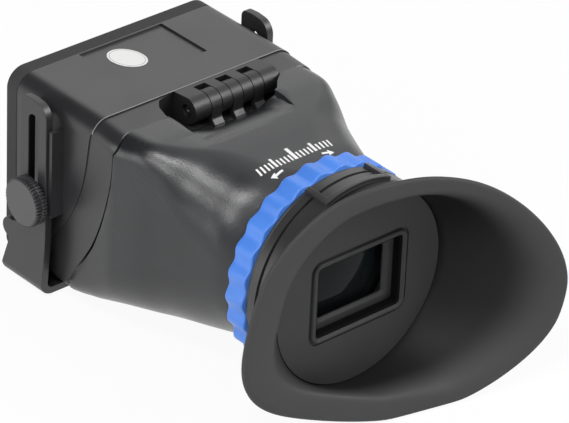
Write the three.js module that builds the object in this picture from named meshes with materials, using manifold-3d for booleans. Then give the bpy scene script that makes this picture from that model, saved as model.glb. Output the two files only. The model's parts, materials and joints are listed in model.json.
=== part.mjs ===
import * as THREE from 'three';
import { mergeVertices } from 'three/addons/utils/BufferGeometryUtils.js';
import Module from 'manifold-3d';

const wasm = await Module();
wasm.setup();

// Millimetres, +Z up, +Y toward the camera screen. Depths run back along -Y from the
// joint of box and gasket, heights and drops run up and down from the optical axis.

// Gap between neighbours, how far a cut runs past a face, smallest inner corner
const gap = 0.3;
const overrun = 1;
const leastRound = 0.8;

// Front box
const boxHalfWidth = 42;
const boxTop = 36.15;
const boxBottom = 32.5;
const boxRound = 6.5;
const boxWall = 2.4;
const creaseDepth = 37.45;

// Rubber rim and screen mask
const gasketDepth = 5.6;
const gasketBand = 6;
const maskDepth = 3.8;
const maskThickness = 1.5;
const maskSideBand = 6.3;
const maskBand = 7.125;
const screenRound = 2;

// Shallow panel on top and the blank label in it
const panelHalfWidth = 17.4;
const panelFront = 0.7;
const panelBack = 23.8;
const panelDrop = 0.7;
const labelX = -6.1;
const labelDepth = 11.9;
const labelLength = 14.3;
const labelWidth = 11.6;
const labelThickness = 0.3;
const labelTurn = -1.22;

// Funnel
const funnelLength = 59.05;
const funnelEndRadius = 30.9;
const funnelWall = 2.2;

// Body stations: depth from the front (-1) over the crease (0) to the funnel end (1), then
// half width, top, bottom, upper and lower corner radius from the box (0) to the end (1)
const bodyShares = [
  [-1, 0, 0, 0, 0, 0],
  [-0.306, 0, 0, 0, 0, -0.06],
  [0, 0, 0, 0.1, 0, 0.15],
  [0.153, -0.009, 0.162, 0.437, -0.172, 0.398],
  [0.348, 0.171, 0.067, 0.687, -0.057, 0.561],
  [0.483, 0.35, 0.16, 0.84, 0.24, 0.67],
  [0.636, 0.523, 0.333, 0.937, 0.529, 0.77],
  [0.762, 0.655, 0.54, 0.97, 0.655, 0.885],
  [0.89, 0.775, 0.752, 1, 0.775, 0.996],
  [1, 1, 1, 1, 1, 1],
];

// Hinge axis, knuckles from the left, pin
const hingeSetback = 6.95;
const hingeDrop = 4.05;
const hingeLeft = -8.4;
const knuckleRadius = 4.6;
const endKnuckle = 6.5;
const leafKnuckle = 4.2;
const innerKnuckle = 4.1;
const pinRadius = 1.8;
const pinRecess = 1.2;
const strapThickness = 1.8;
const leafPlate = 0.7;
const blockScrewLead = 3;
const blockScrewInset = 3.2;

// Parting seam: arcs round the hinge axis, then a curve down to the bottom edge.
// Shares of the box height and of the way from the hinge end of the seam to its foot
const seamRadius = 4.4;
const seamTuck = 0.7;
const seamFoot = 24.5;
const seamFootGap = 0.9;
const seamShares = [
  [0.9, 0.01],
  [0.772, 0.034],
  [0.596, 0.144],
  [0.374, 0.377],
  [0.216, 0.653],
  [0.114, 0.873],
  [0.051, 0.949],
  [-0.05, 1],
];

// Recess round the hinge: room under and behind the knuckles, length of the sloped end,
// then the left outline as shares of its reach and of its length
const pocketReach = 19.4;
const pocketRoom = 1;
const pocketFlat = 4;
const pocketSlope = 14;
const pocketBrowDrop = 1.55;
const pocketWall = 1.9;
const notchRoom = 0.5;
const pocketShares = [
  [0.433, 0],
  [0.804, 0.05],
  [0.964, 0.294],
  [1, 0.697],
  [0.98, 1],
];

// Guide ribs beside the arms
const ribStand = 4.8;
const ribThickness = 1.6;
const ribTop = 27.6;
const ribDrop = 3.8;

// U bracket, its arms placed from the thumb screws
const armGap = 3;
const armThickness = 2.7;
const armTop = 36.2;
const armLead = 6.7;
const armTrail = 6.6;
const armFrontRound = 2.5;
const armBackRound = 5;
const armBendDrop = 7.8;
const armFilletDrop = 12.9;
const slotWidth = 4.8;
const slotDrop = 5.2;
const lobeDepth = 3.5;
const lobeDrop = 16.5;
const lobeRadius = 3.6;
const notchDepth = 3.7;
const notchDrop = 20.5;
const barBack = 20;
const barForward = 0.5;
const bracketRound = 5;

// Thumb screws, on the level of the optical axis
const thumbDepth = 15.5;
const studRadius = 2;
const studBite = 4.7;
const insertWall = 1.3;
const insertSkin = 0.7;
const bossRadius = 5.6;
const bossDepth = 5.4;
const washerRadius = 4.4;
const knobRadius = 8.4;
const knobThickness = 4.4;
const knobGap = 0.4;
const knobCap = 1.2;
const knobGroove = 0.9;
const knobTooth = 0.35;
const knobTeeth = 32;

// Small screws: head radius and height, shank radius, socket
const screwHead = 1.9;
const screwHeadHeight = 1.4;
const screwShank = 1;
const screwSocket = 0.9;
const screwSocketDepth = 0.8;
const screwReach = 2.6;

// Closing magnets and keepers
const magnetX = 20;
const magnetRadius = 2.5;
const magnetLength = 4;
const magnetSet = 1.6;
const magnetBossWall = 1.3;
const keeperLength = 1.5;
const magnetRise = 5.3;

// Light baffle, ahead of the funnel shoulder
const baffleLead = 14;
const baffleThickness = 1.5;
const baffleSideBand = 7.4;
const baffleBand = 9;

// Eyepiece mount: funnel shoulder, sleeve, cam ring
const shoulderThickness = 5.5;
const tubeWall = 1.8;
const barrelRadius = 22.8;
const sleeveFlange = 2;
const camSetback = 1.5;
const camEndRoom = 1.9;
const camWall = 2;
const clipWidth = 1;
const clipReach = 1.5;
const clipSeat = 0.7;
const clipOpening = 0.7;
const focusTravel = 4;
const focusTurn = Math.PI * 2 / 3;
const slotPlay = 0.3;
const guidePinRadius = 1;
const guidePinSetback = 2.7;

// Focus ring
const ringValley = 35.25;
const ringLobe = 1.3;
const ringBevel = 0.5;
const ringBevelDrop = 0.4;
const ringLength = 8.2;
const ringWeb = 2.4;
const ringWall = 2.6;
const ringLobes = 26;

// Lens barrel
const barrelSetback = 1;
const flangeLip = 1.6;
const flangeThickness = 1;
const hubRadius = 33.2;
const lensLip = 2.1;
const lensSeatWeb = 3.5;
const maskSeatDrop = 3.3;
const maskSeatWall = 3.2;

// Lenses, spacer and retainer
const lensEdge = 2.4;
const lensFlat = 2;
const fieldBulge = 1.4;
const eyeBulge = 2.4;
const fieldLensSetback = 2.4;
const spacerWall = 1.5;
const retainerWidth = 1.4;

// Eyepiece window
const windowMaskThickness = 1.5;
const windowHalfWidth = 14;
const windowHalfHeight = 9.5;
const windowRound = 1;
const frameHalfWidth = 19.6;
const frameHalfHeight = 14.7;
const frameBand = 2.4;
const frameRound = 3;
const frameRise = 0.7;
const faceLip = 0.8;
const faceThickness = 1.4;

// Eyecup collar with its raised catch
const collarWall = 2;
const collarLength = 10.7;
const catchRise = 1.2;
const catchLeg = 0.07;
const catchFrom = 1.2;
const catchTo = 1.955;
const catchBar = 1.7;

// Eyecup: tilted rim plane, lip, base
const cupWall = 1.4;
const cupDepth = 15;
const cupReach = 65.5;
const cupSlope = 0.23;
const cupTwist = -0.166;
const cupLip = 8.2;
const cupLipSwing = 2;
const cupCrown = 1.2;
const rimShares = [
  [-171, 0.742], [-156, 0.785], [-148, 0.797], [-139, 0.759], [-119, 0.661], [-102, 0.624],
  [-85, 0.626], [-64, 0.67], [-45, 0.75], [-28, 0.856], [-16, 0.95], [-7, 1],
  [2, 0.989], [11, 0.931], [24, 0.852], [44, 0.762], [61, 0.71], [77, 0.681],
  [92, 0.664], [108, 0.667], [127, 0.685], [143, 0.705], [156, 0.707], [171, 0.725],
];

// Mesh fineness
const cornerSteps = 8;
const roundSteps = 48;
const smallSteps = 20;
const cupSteps = 60;
const lensSteps = 3;
const hiddenSteps = 36;
const lobeSteps = 4;

// Sizes that follow from the ones above
const funnelEnd = creaseDepth + funnelLength;
const ringFront = funnelEnd + gap;
const ringBack = ringFront + ringLength;
const flangeFront = ringBack + gap;
const flangeBack = flangeFront + flangeThickness;
const collarFront = flangeBack + gap;
const collarBack = collarFront + collarLength;
const faceFront = collarBack + gap;
const faceBack = faceFront + faceThickness;
const hingeDepth = creaseDepth + hingeSetback;
const hingeHeight = boxTop - hingeDrop;
const knuckleBack = hingeDepth + knuckleRadius;
const seamDepth = hingeDepth + seamRadius - seamTuck;
const pocketFront = creaseDepth;
const pocketFloor = hingeHeight - knuckleRadius - pocketRoom;
const pocketFloorBack = knuckleBack + pocketFlat;
const pocketBack = pocketFloorBack + pocketSlope;
const pocketBrow = boxTop - pocketBrowDrop;
const pocketNotchBack = knuckleBack + notchRoom;
const leafPlateBack = pocketFloorBack - gap;
const leafScrewDepth = knuckleBack + screwHead;
const blockScrewDepth = hingeDepth - blockScrewLead;
const armInner = boxHalfWidth + armGap;
const armOuter = armInner + armThickness;
const armFront = thumbDepth - armLead;
const armBack = thumbDepth + armTrail;
const slotTop = armTop - slotDrop;
const ribReach = boxHalfWidth + ribStand;
const ribBack = armBack + gap + ribThickness;
const shoulderDepth = funnelEnd - shoulderThickness;
const baffleDepth = shoulderDepth - baffleLead;
const sleeveInner = barrelRadius + gap;
const sleeveOuter = sleeveInner + tubeWall - slotPlay;
const sleeveEnd = ringBack - gap;
const camFront = shoulderDepth + camSetback;
const camBack = ringBack - camEndRoom;
const camInner = sleeveOuter + gap;
const camOuter = camInner + camWall;
const shoulderBore = camOuter + gap;
const guidePinDepth = camFront + guidePinSetback;
const ringPeak = ringValley + ringLobe;
const ringBevelRadius = ringValley - ringBevelDrop;
const ringRim = ringValley - ringWall;
const barrelFront = shoulderDepth + barrelSetback;
const barrelBore = barrelRadius - tubeWall;
const flangeRadius = hubRadius + flangeLip;
const hubEnd = collarBack;
const maskSeatDepth = hubEnd - maskSeatDrop;
const maskSeatRadius = hubRadius - maskSeatWall;
const lensSeatDepth = maskSeatDepth - lensSeatWeb;
const lensSeatBore = barrelBore - lensLip;
const lensRadius = barrelBore - gap;
const fieldLensDepth = barrelFront + fieldLensSetback;
const faceRadius = hubRadius + faceLip;
const collarInner = hubRadius + gap;
const collarOuter = collarInner + collarWall;
const pinBore = pinRadius + gap;
const studBore = studRadius + gap;

const materials = {
  housing: new THREE.MeshStandardMaterial({ color: 0x48484c, roughness: 0.6, metalness: 0 }),
  funnel: new THREE.MeshStandardMaterial({ color: 0x4a4c50, roughness: 0.6, metalness: 0 }),
  rubber: new THREE.MeshStandardMaterial({ color: 0x353537, roughness: 0.85, metalness: 0 }),
  gloss: new THREE.MeshStandardMaterial({ color: 0x1c1c1e, roughness: 0.3, metalness: 0 }),
  inner: new THREE.MeshStandardMaterial({ color: 0x161616, roughness: 0.9, metalness: 0 }),
  blue: new THREE.MeshStandardMaterial({ color: 0x468cfa, roughness: 0.45, metalness: 0 }),
  label: new THREE.MeshStandardMaterial({ color: 0xf4f4f2, roughness: 0.5, metalness: 0 }),
  steel: new THREE.MeshStandardMaterial({ color: 0x9a9a9e, roughness: 0.35, metalness: 1 }),
  brass: new THREE.MeshStandardMaterial({ color: 0xb08d3e, roughness: 0.35, metalness: 1 }),
  glass: new THREE.MeshStandardMaterial({ color: 0x30343a, roughness: 0.05, metalness: 0 }),
};

// Triangle corners without the flat ones, turned so that the faces point out
function outwardCorners(positions, index) {
  const corners = [];
  const a = new THREE.Vector3();
  const b = new THREE.Vector3();
  const c = new THREE.Vector3();
  let volume = 0;
  for (let i = 0; i < index.length; i += 3) {
    const [p, q, r] = [index[i], index[i + 1], index[i + 2]];
    if (p === q || q === r || r === p) continue;
    corners.push(p, q, r);
    a.fromArray(positions, p * 3);
    b.fromArray(positions, q * 3);
    c.fromArray(positions, r * 3);
    volume += a.dot(b.cross(c));
  }
  return volume < 0 ? corners.reverse() : corners;
}

// Closed geometry to solid
function toSolid(geometry) {
  geometry.deleteAttribute('normal');
  geometry.deleteAttribute('uv');
  const merged = mergeVertices(geometry);
  const vertProperties = new Float32Array(merged.attributes.position.array);
  const triVerts = new Uint32Array(outwardCorners(vertProperties, merged.index.array));
  return new wasm.Manifold(new wasm.Mesh({ numProp: 3, vertProperties, triVerts }));
}

// Solid to named mesh
function toMesh(name, solid, material) {
  const cut = solid.getMesh();
  const geometry = new THREE.BufferGeometry();
  geometry.setAttribute('position', new THREE.BufferAttribute(cut.vertProperties, 3));
  geometry.setIndex(new THREE.BufferAttribute(cut.triVerts, 1));
  geometry.computeVertexNormals();
  const mesh = new THREE.Mesh(geometry, material);
  mesh.name = name;
  return mesh;
}

// Names a mesh and sets it at a place, turned about the upright where asked
function placed(name, solid, material, x, y, z, turn = 0) {
  const mesh = toMesh(name, solid, material);
  mesh.position.set(x, y, z);
  mesh.rotation.z = turn;
  return mesh;
}

function unite(solids) {
  return solids.reduce((sum, next) => sum.add(next));
}

function extruded(shape, length) {
  return new THREE.ExtrudeGeometry(shape, {
    depth: length,
    bevelEnabled: false,
    curveSegments: cornerSteps / 2,
  });
}

// Outline in x and z, from one depth back to another
function prismY(shape, front, back) {
  const geometry = extruded(shape, back - front);
  geometry.rotateX(Math.PI / 2);
  geometry.translate(0, -front, 0);
  return toSolid(geometry);
}

// Outline in y and z, along x
function prismX(shape, from, to) {
  const geometry = extruded(shape, to - from);
  const turn = new THREE.Matrix4().makeBasis(
    new THREE.Vector3(0, 1, 0),
    new THREE.Vector3(0, 0, 1),
    new THREE.Vector3(1, 0, 0),
  );
  geometry.applyMatrix4(turn);
  geometry.translate(from, 0, 0);
  return toSolid(geometry);
}

// Outline in x and y, along z
function prismZ(shape, from, to) {
  const geometry = extruded(shape, to - from);
  geometry.translate(0, 0, from);
  return toSolid(geometry);
}

function polygon(points) {
  return new THREE.Shape(points.map(([u, v]) => new THREE.Vector2(u, v)));
}

function circle(u, v, radius, steps = smallSteps) {
  const points = [];
  for (let i = 0; i < steps; i += 1) {
    const angle = (i / steps) * Math.PI * 2;
    points.push([u + radius * Math.cos(angle), v + radius * Math.sin(angle)]);
  }
  return polygon(points);
}

// Rectangle with rounded corners
function rounded(left, right, bottom, top, radius) {
  const shape = new THREE.Shape();
  shape.absarc(right - radius, top - radius, radius, 0, Math.PI / 2);
  shape.absarc(left + radius, top - radius, radius, Math.PI / 2, Math.PI);
  shape.absarc(left + radius, bottom + radius, radius, Math.PI, Math.PI * 1.5);
  shape.absarc(right - radius, bottom + radius, radius, Math.PI * 1.5, Math.PI * 2);
  return shape;
}

function box(x0, x1, y0, y1, z0, z1) {
  return prismZ(polygon([[x0, y0], [x1, y0], [x1, y1], [x0, y1]]), z0, z1);
}

// Profile of radius and depth pairs, turned about the optical axis
function turned(profile, steps = roundSteps) {
  const points = profile.map(([radius, depth]) => new THREE.Vector2(radius, -depth));
  return toSolid(new THREE.LatheGeometry([...points, points[0].clone()], steps));
}

// Tube about the optical axis
function tube(inner, outer, front, back, steps = roundSteps) {
  return turned([[inner, front], [outer, front], [outer, back], [inner, back]], steps);
}

// Disc about the optical axis
function disc(radius, front, back, steps = roundSteps) {
  return prismY(circle(0, 0, radius, steps), front, back);
}

// Skin over rings of equal length, capped at both ends or joined end to end
function loft(rings, endless = false) {
  const count = rings[0].length;
  const positions = rings.flat().flatMap((point) => point.toArray());
  const index = [];
  const spans = endless ? rings.length : rings.length - 1;
  for (let i = 0; i < spans; i += 1) {
    const here = i * count;
    const next = ((i + 1) % rings.length) * count;
    for (let j = 0; j < count; j += 1) {
      const k = (j + 1) % count;
      index.push(here + j, here + k, next + j, next + j, here + k, next + k);
    }
  }
  if (!endless) {
    for (const [start, flip] of [[0, true], [(rings.length - 1) * count, false]]) {
      const centre = positions.length / 3;
      const middle = new THREE.Vector3();
      rings[start / count].forEach((point) => middle.addScaledVector(point, 1 / count));
      positions.push(...middle.toArray());
      for (let j = 0; j < count; j += 1) {
        const k = (j + 1) % count;
        index.push(centre, start + (flip ? k : j), start + (flip ? j : k));
      }
    }
  }
  const geometry = new THREE.BufferGeometry();
  geometry.setAttribute('position', new THREE.Float32BufferAttribute(positions, 3));
  geometry.setIndex(index);
  return toSolid(geometry);
}

// Value at a place in a table of rows, straight between the rows
function between(rows, place, column) {
  let i = 1;
  while (i < rows.length - 1 && rows[i][0] < place) i += 1;
  const share = (place - rows[i - 1][0]) / (rows[i][0] - rows[i - 1][0]);
  return THREE.MathUtils.lerp(rows[i - 1][column], rows[i][column], share);
}

// Body outline at a depth, drawn in by an inset
function bodySection(depth, inset) {
  const ahead = depth < creaseDepth;
  const place = ahead ? depth / creaseDepth - 1 : (depth - creaseDepth) / funnelLength;
  const size = (column, start) => {
    const share = between(bodyShares, place, column);
    return THREE.MathUtils.lerp(start, funnelEndRadius, share);
  };
  return {
    halfWidth: size(1, boxHalfWidth) - inset,
    top: size(2, boxTop) - inset,
    bottom: size(3, boxBottom) - inset,
    upper: Math.max(size(4, boxRound) - inset, leastRound),
    lower: Math.max(size(5, boxRound) - inset, leastRound),
  };
}

// Ring of points on the body outline, anticlockwise from the right
function bodyRing(depth, inset, y = -depth) {
  const { halfWidth, top, bottom, upper, lower } = bodySection(depth, inset);
  const corners = [
    [halfWidth - upper, top - upper, upper],
    [upper - halfWidth, top - upper, upper],
    [lower - halfWidth, lower - bottom, lower],
    [halfWidth - lower, lower - bottom, lower],
  ];
  return corners.flatMap(([x, z, radius], corner) => {
    const points = [];
    for (let i = 0; i <= cornerSteps; i += 1) {
      const angle = (corner + i / cornerSteps) * (Math.PI / 2);
      points.push(new THREE.Vector3(x + radius * Math.cos(angle), y, z + radius * Math.sin(angle)));
    }
    return points;
  });
}

// Depths of the body rings between two shares of the body
function bodyDepths(from, to) {
  const shares = bodyShares.map(([share]) => share).filter((share) => share > from && share < to);
  return [from, ...shares, to].map((share) => (
    share < 0 ? creaseDepth * (1 + share) : creaseDepth + funnelLength * share
  ));
}

// Height on the box at a share from bottom to top
function boxHeightAt(share) {
  return THREE.MathUtils.lerp(-boxBottom, boxTop, share);
}

// Everything behind the parting seam; the clearance moves it back
function behindSeam(clearance, footClearance) {
  const radius = seamRadius + clearance;
  const points = [];
  const top = Math.PI / 2;
  const end = Math.PI + Math.asin((hingeHeight - boxHeightAt(seamShares[0][0])) / radius);
  for (let i = 0; i <= cornerSteps; i += 1) {
    const angle = top + (end - top) * (i / cornerSteps);
    const y = -hingeDepth + radius * Math.cos(angle);
    points.push([y, hingeHeight + radius * Math.sin(angle)]);
  }
  for (const [height, share] of seamShares.slice(1)) {
    const play = THREE.MathUtils.lerp(clearance, footClearance, share);
    const depth = THREE.MathUtils.lerp(seamDepth, seamFoot, share);
    points.push([-depth - play, boxHeightAt(height)]);
  }
  const far = funnelEnd * 2;
  points.push([-far, -boxBottom * 2], [-far, boxTop * 2], [-hingeDepth, boxTop * 2]);
  return prismX(polygon(points), -boxHalfWidth * 2, boxHalfWidth * 2);
}

// Recess round the hinge, grown all round for the block that carries its walls
function hingePocket(grow) {
  const right = hingeRight() + gap * 2;
  const wall = knuckleSpans()[5][1] + gap;
  const length = pocketBack - pocketFront;
  const left = pocketShares.map(([reach, share]) => [
    -pocketReach * reach - grow,
    -pocketFront - length * share,
  ]);
  left[0][1] += grow;
  left[left.length - 1][1] -= grow;
  const outline = polygon([
    ...left,
    [pocketReach + grow, -pocketBack - grow],
    [wall + grow, -pocketFloorBack - grow],
    [wall + grow, -pocketNotchBack - grow],
    [right + grow, -pocketNotchBack - grow],
    [right + grow, -pocketFront + grow],
  ]);
  const profile = polygon([
    [-pocketFront + grow, pocketFloor - grow],
    [-pocketFloorBack - grow / 2, pocketFloor - grow],
    [-pocketBack - grow, pocketBrow],
    [-pocketBack - grow, boxTop + overrun],
    [-pocketFront + grow, boxTop + overrun],
  ]);
  const deep = prismZ(outline, pocketFloor - grow, boxTop + overrun);
  return deep.intersect(prismX(profile, -boxHalfWidth, boxHalfWidth));
}

// Knuckle places along the hinge: even ones belong to the box, odd ones to the funnel
function knuckleSpans() {
  const widths = [
    endKnuckle, leafKnuckle, innerKnuckle, leafKnuckle, innerKnuckle, leafKnuckle, endKnuckle,
  ];
  let x = hingeLeft;
  return widths.map((width) => {
    const span = [x, x + width];
    x += width + gap;
    return span;
  });
}

function hingeRight() {
  return knuckleSpans().at(-1)[1];
}

function hingeBore() {
  const bore = circle(-hingeDepth, hingeHeight, pinBore);
  return prismX(bore, hingeLeft - overrun, hingeRight() + overrun);
}

// Hole under each place for a screw shank, through the floor of the hinge recess
function floorHoles(places) {
  const bottom = pocketFloor - pocketWall - overrun;
  return unite(places.map(([x, depth]) => (
    prismZ(circle(x, -depth, screwShank + gap), bottom, pocketFloor + overrun)
  )));
}

function blockScrewPlaces() {
  return [
    [hingeLeft + blockScrewInset, blockScrewDepth],
    [hingeRight() - blockScrewInset, blockScrewDepth],
  ];
}

function leafScrewPlaces() {
  const spans = knuckleSpans();
  return [spans[2], spans[4]].map(([from, to]) => [(from + to) / 2, leafScrewDepth]);
}

// Socket screw pointing up, with its head below the origin
function makeScrew() {
  const head = prismZ(circle(0, 0, screwHead), -screwHeadHeight, 0);
  const shank = prismZ(circle(0, 0, screwShank), -screwHeadHeight / 2, screwReach);
  const socket = circle(0, 0, screwSocket, 6);
  const drive = prismZ(socket, -screwHeadHeight - overrun, screwSocketDepth - screwHeadHeight);
  return head.add(shank).subtract(drive);
}

function magnetHeight() {
  return -boxBottom + magnetRise;
}

// Boss on the bottom wall at each side, with its bore open toward the seam
function magnetBosses(front, back) {
  const half = magnetRadius + gap + magnetBossWall;
  const bosses = [-magnetX, magnetX].map((x) => (
    box(x - half, x + half, -back, -front, -boxBottom + boxWall / 2, magnetHeight() + half)
  ));
  return unite(bosses);
}

function magnetBores(front, back) {
  const bores = [-magnetX, magnetX].map((x) => (
    prismY(circle(x, magnetHeight(), magnetRadius + gap), front, back)
  ));
  return unite(bores);
}

function magnetFront() {
  return seamFoot - magnetLength;
}

function keeperFront() {
  return seamFoot + magnetSet * 2 + gap;
}

function makeMagnet(length) {
  return prismY(circle(0, 0, magnetRadius), 0, length);
}

function makeGasket() {
  const outer = rounded(-boxHalfWidth, boxHalfWidth, -boxBottom, boxTop, boxRound);
  const inner = rounded(
    gasketBand - boxHalfWidth,
    boxHalfWidth - gasketBand,
    gasketBand - boxBottom,
    boxTop - gasketBand,
    screenRound,
  );
  return prismY(outer, -gasketDepth, -gap).subtract(
    prismY(inner, -gasketDepth - overrun, overrun),
  );
}

// Boss and bore for a thumb screw insert, at one side
function insertBoss(side) {
  const start = boxHalfWidth - bossDepth;
  const span = [side * start, side * (boxHalfWidth - boxWall / 2)].sort((a, b) => a - b);
  return prismX(circle(-thumbDepth, 0, bossRadius), ...span);
}

function insertBores(side) {
  const start = boxHalfWidth - bossDepth - overrun;
  const seat = [side * start, side * (boxHalfWidth - insertSkin)].sort((a, b) => a - b);
  const way = [side * start, side * (boxHalfWidth + overrun)].sort((a, b) => a - b);
  return prismX(circle(-thumbDepth, 0, insertRadius() + gap), ...seat).add(
    prismX(circle(-thumbDepth, 0, studBore), ...way),
  );
}

function insertRadius() {
  return studBore + insertWall;
}

function guideRib(side) {
  const span = [side * (boxHalfWidth - boxWall / 2), side * ribReach].sort((a, b) => a - b);
  return box(...span, -ribBack, -armBack - gap, -ribDrop, ribTop);
}

function makeHousing() {
  const depths = bodyDepths(-1, 0.3);
  const outer = loft(depths.map((depth) => bodyRing(depth, 0)));
  const hollow = loft([
    bodyRing(0, boxWall, overrun),
    ...depths.map((depth) => bodyRing(depth, boxWall)),
    bodyRing(depths.at(-1), boxWall, -depths.at(-1) - overrun),
  ]);
  const carried = hingePocket(pocketWall).intersect(loft(depths.map((d) => bodyRing(d, 0))));
  const panel = box(
    -panelHalfWidth, panelHalfWidth, -panelBack, -panelFront, boxTop - panelDrop, boxTop + overrun,
  );
  return outer
    .subtract(hollow.subtract(carried))
    .add(insertBoss(-1))
    .add(insertBoss(1))
    .add(magnetBosses(magnetFront() - magnetBossWall - gap, funnelEnd / 2))
    .add(guideRib(-1))
    .add(guideRib(1))
    .subtract(insertBores(-1))
    .subtract(insertBores(1))
    .subtract(magnetBores(magnetFront() - gap, funnelEnd))
    .subtract(panel)
    .subtract(hingePocket(0))
    .subtract(floorHoles(blockScrewPlaces()))
    .subtract(behindSeam(0, 0));
}

function makeScreenMask() {
  const { halfWidth, top, bottom, upper } = bodySection(maskDepth, boxWall + gap);
  const plate = rounded(-halfWidth, halfWidth, -bottom, top, upper);
  const side = halfWidth - maskSideBand;
  const view = rounded(-side, side, maskBand - bottom, top - maskBand, screenRound);
  const back = maskDepth + maskThickness;
  return prismY(plate, maskDepth, back).subtract(
    prismY(view, maskDepth - overrun, back + overrun),
  );
}

function makeLabel() {
  const shape = new THREE.Shape();
  shape.absellipse(0, 0, labelLength / 2, labelWidth / 2, 0, Math.PI * 2, false, 0);
  return prismZ(shape, 0, labelThickness);
}

// Box side of the hinge
function makeHingeBlock() {
  const front = -pocketFront - gap;
  const base = pocketFloor + gap;
  const shape = new THREE.Shape();
  shape.moveTo(front, base);
  shape.lineTo(front, boxTop);
  shape.absarc(-hingeDepth, hingeHeight, knuckleRadius, Math.PI / 2, Math.PI * 1.5);
  shape.lineTo(-hingeDepth, base);
  const windows = knuckleSpans().filter((span, i) => i % 2 === 1).map(([from, to]) => box(
    from - gap,
    to + gap,
    -hingeDepth - knuckleRadius - overrun,
    -hingeDepth + knuckleRadius + gap,
    base - overrun,
    boxTop + knuckleRadius,
  ));
  const holes = blockScrewPlaces().map(([x, depth]) => prismZ(
    circle(x, -depth, screwShank + gap),
    base - overrun,
    base + screwReach,
  ));
  return prismX(shape, hingeLeft, hingeRight())
    .subtract(unite(windows))
    .subtract(hingeBore())
    .subtract(unite(holes));
}

function makeHingePin() {
  return prismX(
    circle(-hingeDepth, hingeHeight, pinRadius),
    hingeLeft + pinRecess,
    hingeRight() - pinRecess,
  );
}

// Funnel side of the hinge: knuckles, straps and a thin plate on the recess floor
function makeHingeLeaf() {
  const base = pocketFloor + gap;
  const back = -hingeDepth - knuckleRadius;
  const spans = knuckleSpans().filter((span, i) => i % 2 === 1);
  const knuckles = spans.map(([from, to]) => (
    prismX(circle(-hingeDepth, hingeHeight, knuckleRadius), from, to).add(
      box(from, to, back, back + strapThickness, base + gap, hingeHeight),
    )
  ));
  const plate = box(
    spans[0][0], spans[2][1], -leafPlateBack, back + strapThickness / 2, base, base + leafPlate,
  );
  const holes = leafScrewPlaces().map(([x, depth]) => prismZ(
    circle(x, -depth, screwShank + gap),
    base - overrun,
    base + leafPlate + overrun,
  ));
  return unite(knuckles).subtract(hingeBore()).add(plate).subtract(unite(holes));
}

function makeFunnel() {
  const depths = bodyDepths(-0.5, 1);
  const outer = loft(depths.map((depth) => bodyRing(depth, 0)));
  const inside = [
    bodyRing(depths[0], funnelWall, overrun - depths[0]),
    ...depths.filter((depth) => depth < shoulderDepth).map((d) => bodyRing(d, funnelWall)),
    bodyRing(shoulderDepth, funnelWall),
  ];
  const carried = hingePocket(pocketWall).intersect(loft(depths.map((d) => bodyRing(d, 0))));
  const keeperBack = keeperFront() + keeperLength;
  return outer
    .subtract(loft(inside).subtract(carried))
    .subtract(disc(shoulderBore, shoulderDepth - overrun, funnelEnd + overrun))
    .add(magnetBosses(seamFoot, keeperBack + gap + magnetBossWall))
    .subtract(magnetBores(seamFoot - overrun, keeperBack + gap))
    .subtract(hingePocket(0))
    .subtract(floorHoles(leafScrewPlaces()))
    .intersect(behindSeam(gap, seamFootGap));
}

function makeBaffle() {
  const back = baffleDepth + baffleThickness;
  const { halfWidth, top, bottom, lower } = bodySection(back, funnelWall + gap);
  const plate = rounded(-halfWidth, halfWidth, -bottom, top, lower);
  const side = halfWidth - baffleSideBand;
  const view = rounded(-side, side, baffleBand - bottom, top - baffleBand, screenRound);
  return prismY(plate, baffleDepth, back).subtract(
    prismY(view, baffleDepth - overrun, back + overrun),
  );
}

// Slots for the guide pins, straight in the sleeve
function sleeveSlots() {
  const half = guidePinRadius + slotPlay;
  const reach = camOuter;
  return box(
    -half, half, -guidePinDepth - focusTravel - half, -guidePinDepth + half, -reach, reach,
  );
}

function makeSleeve() {
  const front = shoulderDepth - gap - sleeveFlange;
  const flange = funnelEndRadius - funnelWall - gap;
  const clipBack = camBack + gap + clipWidth;
  const profile = [
    [sleeveInner, front],
    [flange, front],
    [flange, front + sleeveFlange],
    [sleeveOuter, front + sleeveFlange],
    [sleeveOuter, camBack + gap - clipWidth / 4],
    [sleeveOuter - clipSeat, camBack + gap - clipWidth / 4],
    [sleeveOuter - clipSeat, clipBack + clipWidth / 4],
    [sleeveOuter, clipBack + clipWidth / 4],
    [sleeveOuter, sleeveEnd],
    [sleeveInner, sleeveEnd],
  ];
  return turned(profile).subtract(sleeveSlots());
}

// Open ring in the groove of the sleeve
function makeClip() {
  const inner = sleeveOuter - clipSeat + gap;
  const outer = sleeveOuter + clipReach;
  const back = camBack + gap + clipWidth;
  const ring = tube(inner, outer, camBack + gap, back, hiddenSteps);
  const opening = box(-clipOpening, clipOpening, -funnelEnd * 2, 0, -outer * 2, 0);
  return ring.subtract(opening);
}

// Helical slot in the cam ring: the pin climbs back as the ring turns
function camSlot(start) {
  const half = guidePinRadius + slotPlay;
  const endTurn = half / camInner;
  const rings = [];
  for (let i = 0; i <= cornerSteps; i += 1) {
    const share = i / cornerSteps;
    const angle = start + endTurn - (focusTurn + endTurn * 2) * share;
    const depth = guidePinDepth + focusTravel * share;
    const across = new THREE.Vector3(Math.cos(angle), 0, Math.sin(angle));
    rings.push([
      [camInner - gap, -depth - half],
      [camOuter + overrun, -depth - half],
      [camOuter + overrun, -depth + half],
      [camInner - gap, -depth + half],
    ].map(([radius, y]) => across.clone().multiplyScalar(radius).setY(y)));
  }
  return loft(rings);
}

function makeCamRing() {
  return tube(camInner, camOuter, camFront, camBack, hiddenSteps)
    .subtract(camSlot(Math.PI / 2))
    .subtract(camSlot(-Math.PI / 2));
}

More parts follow.
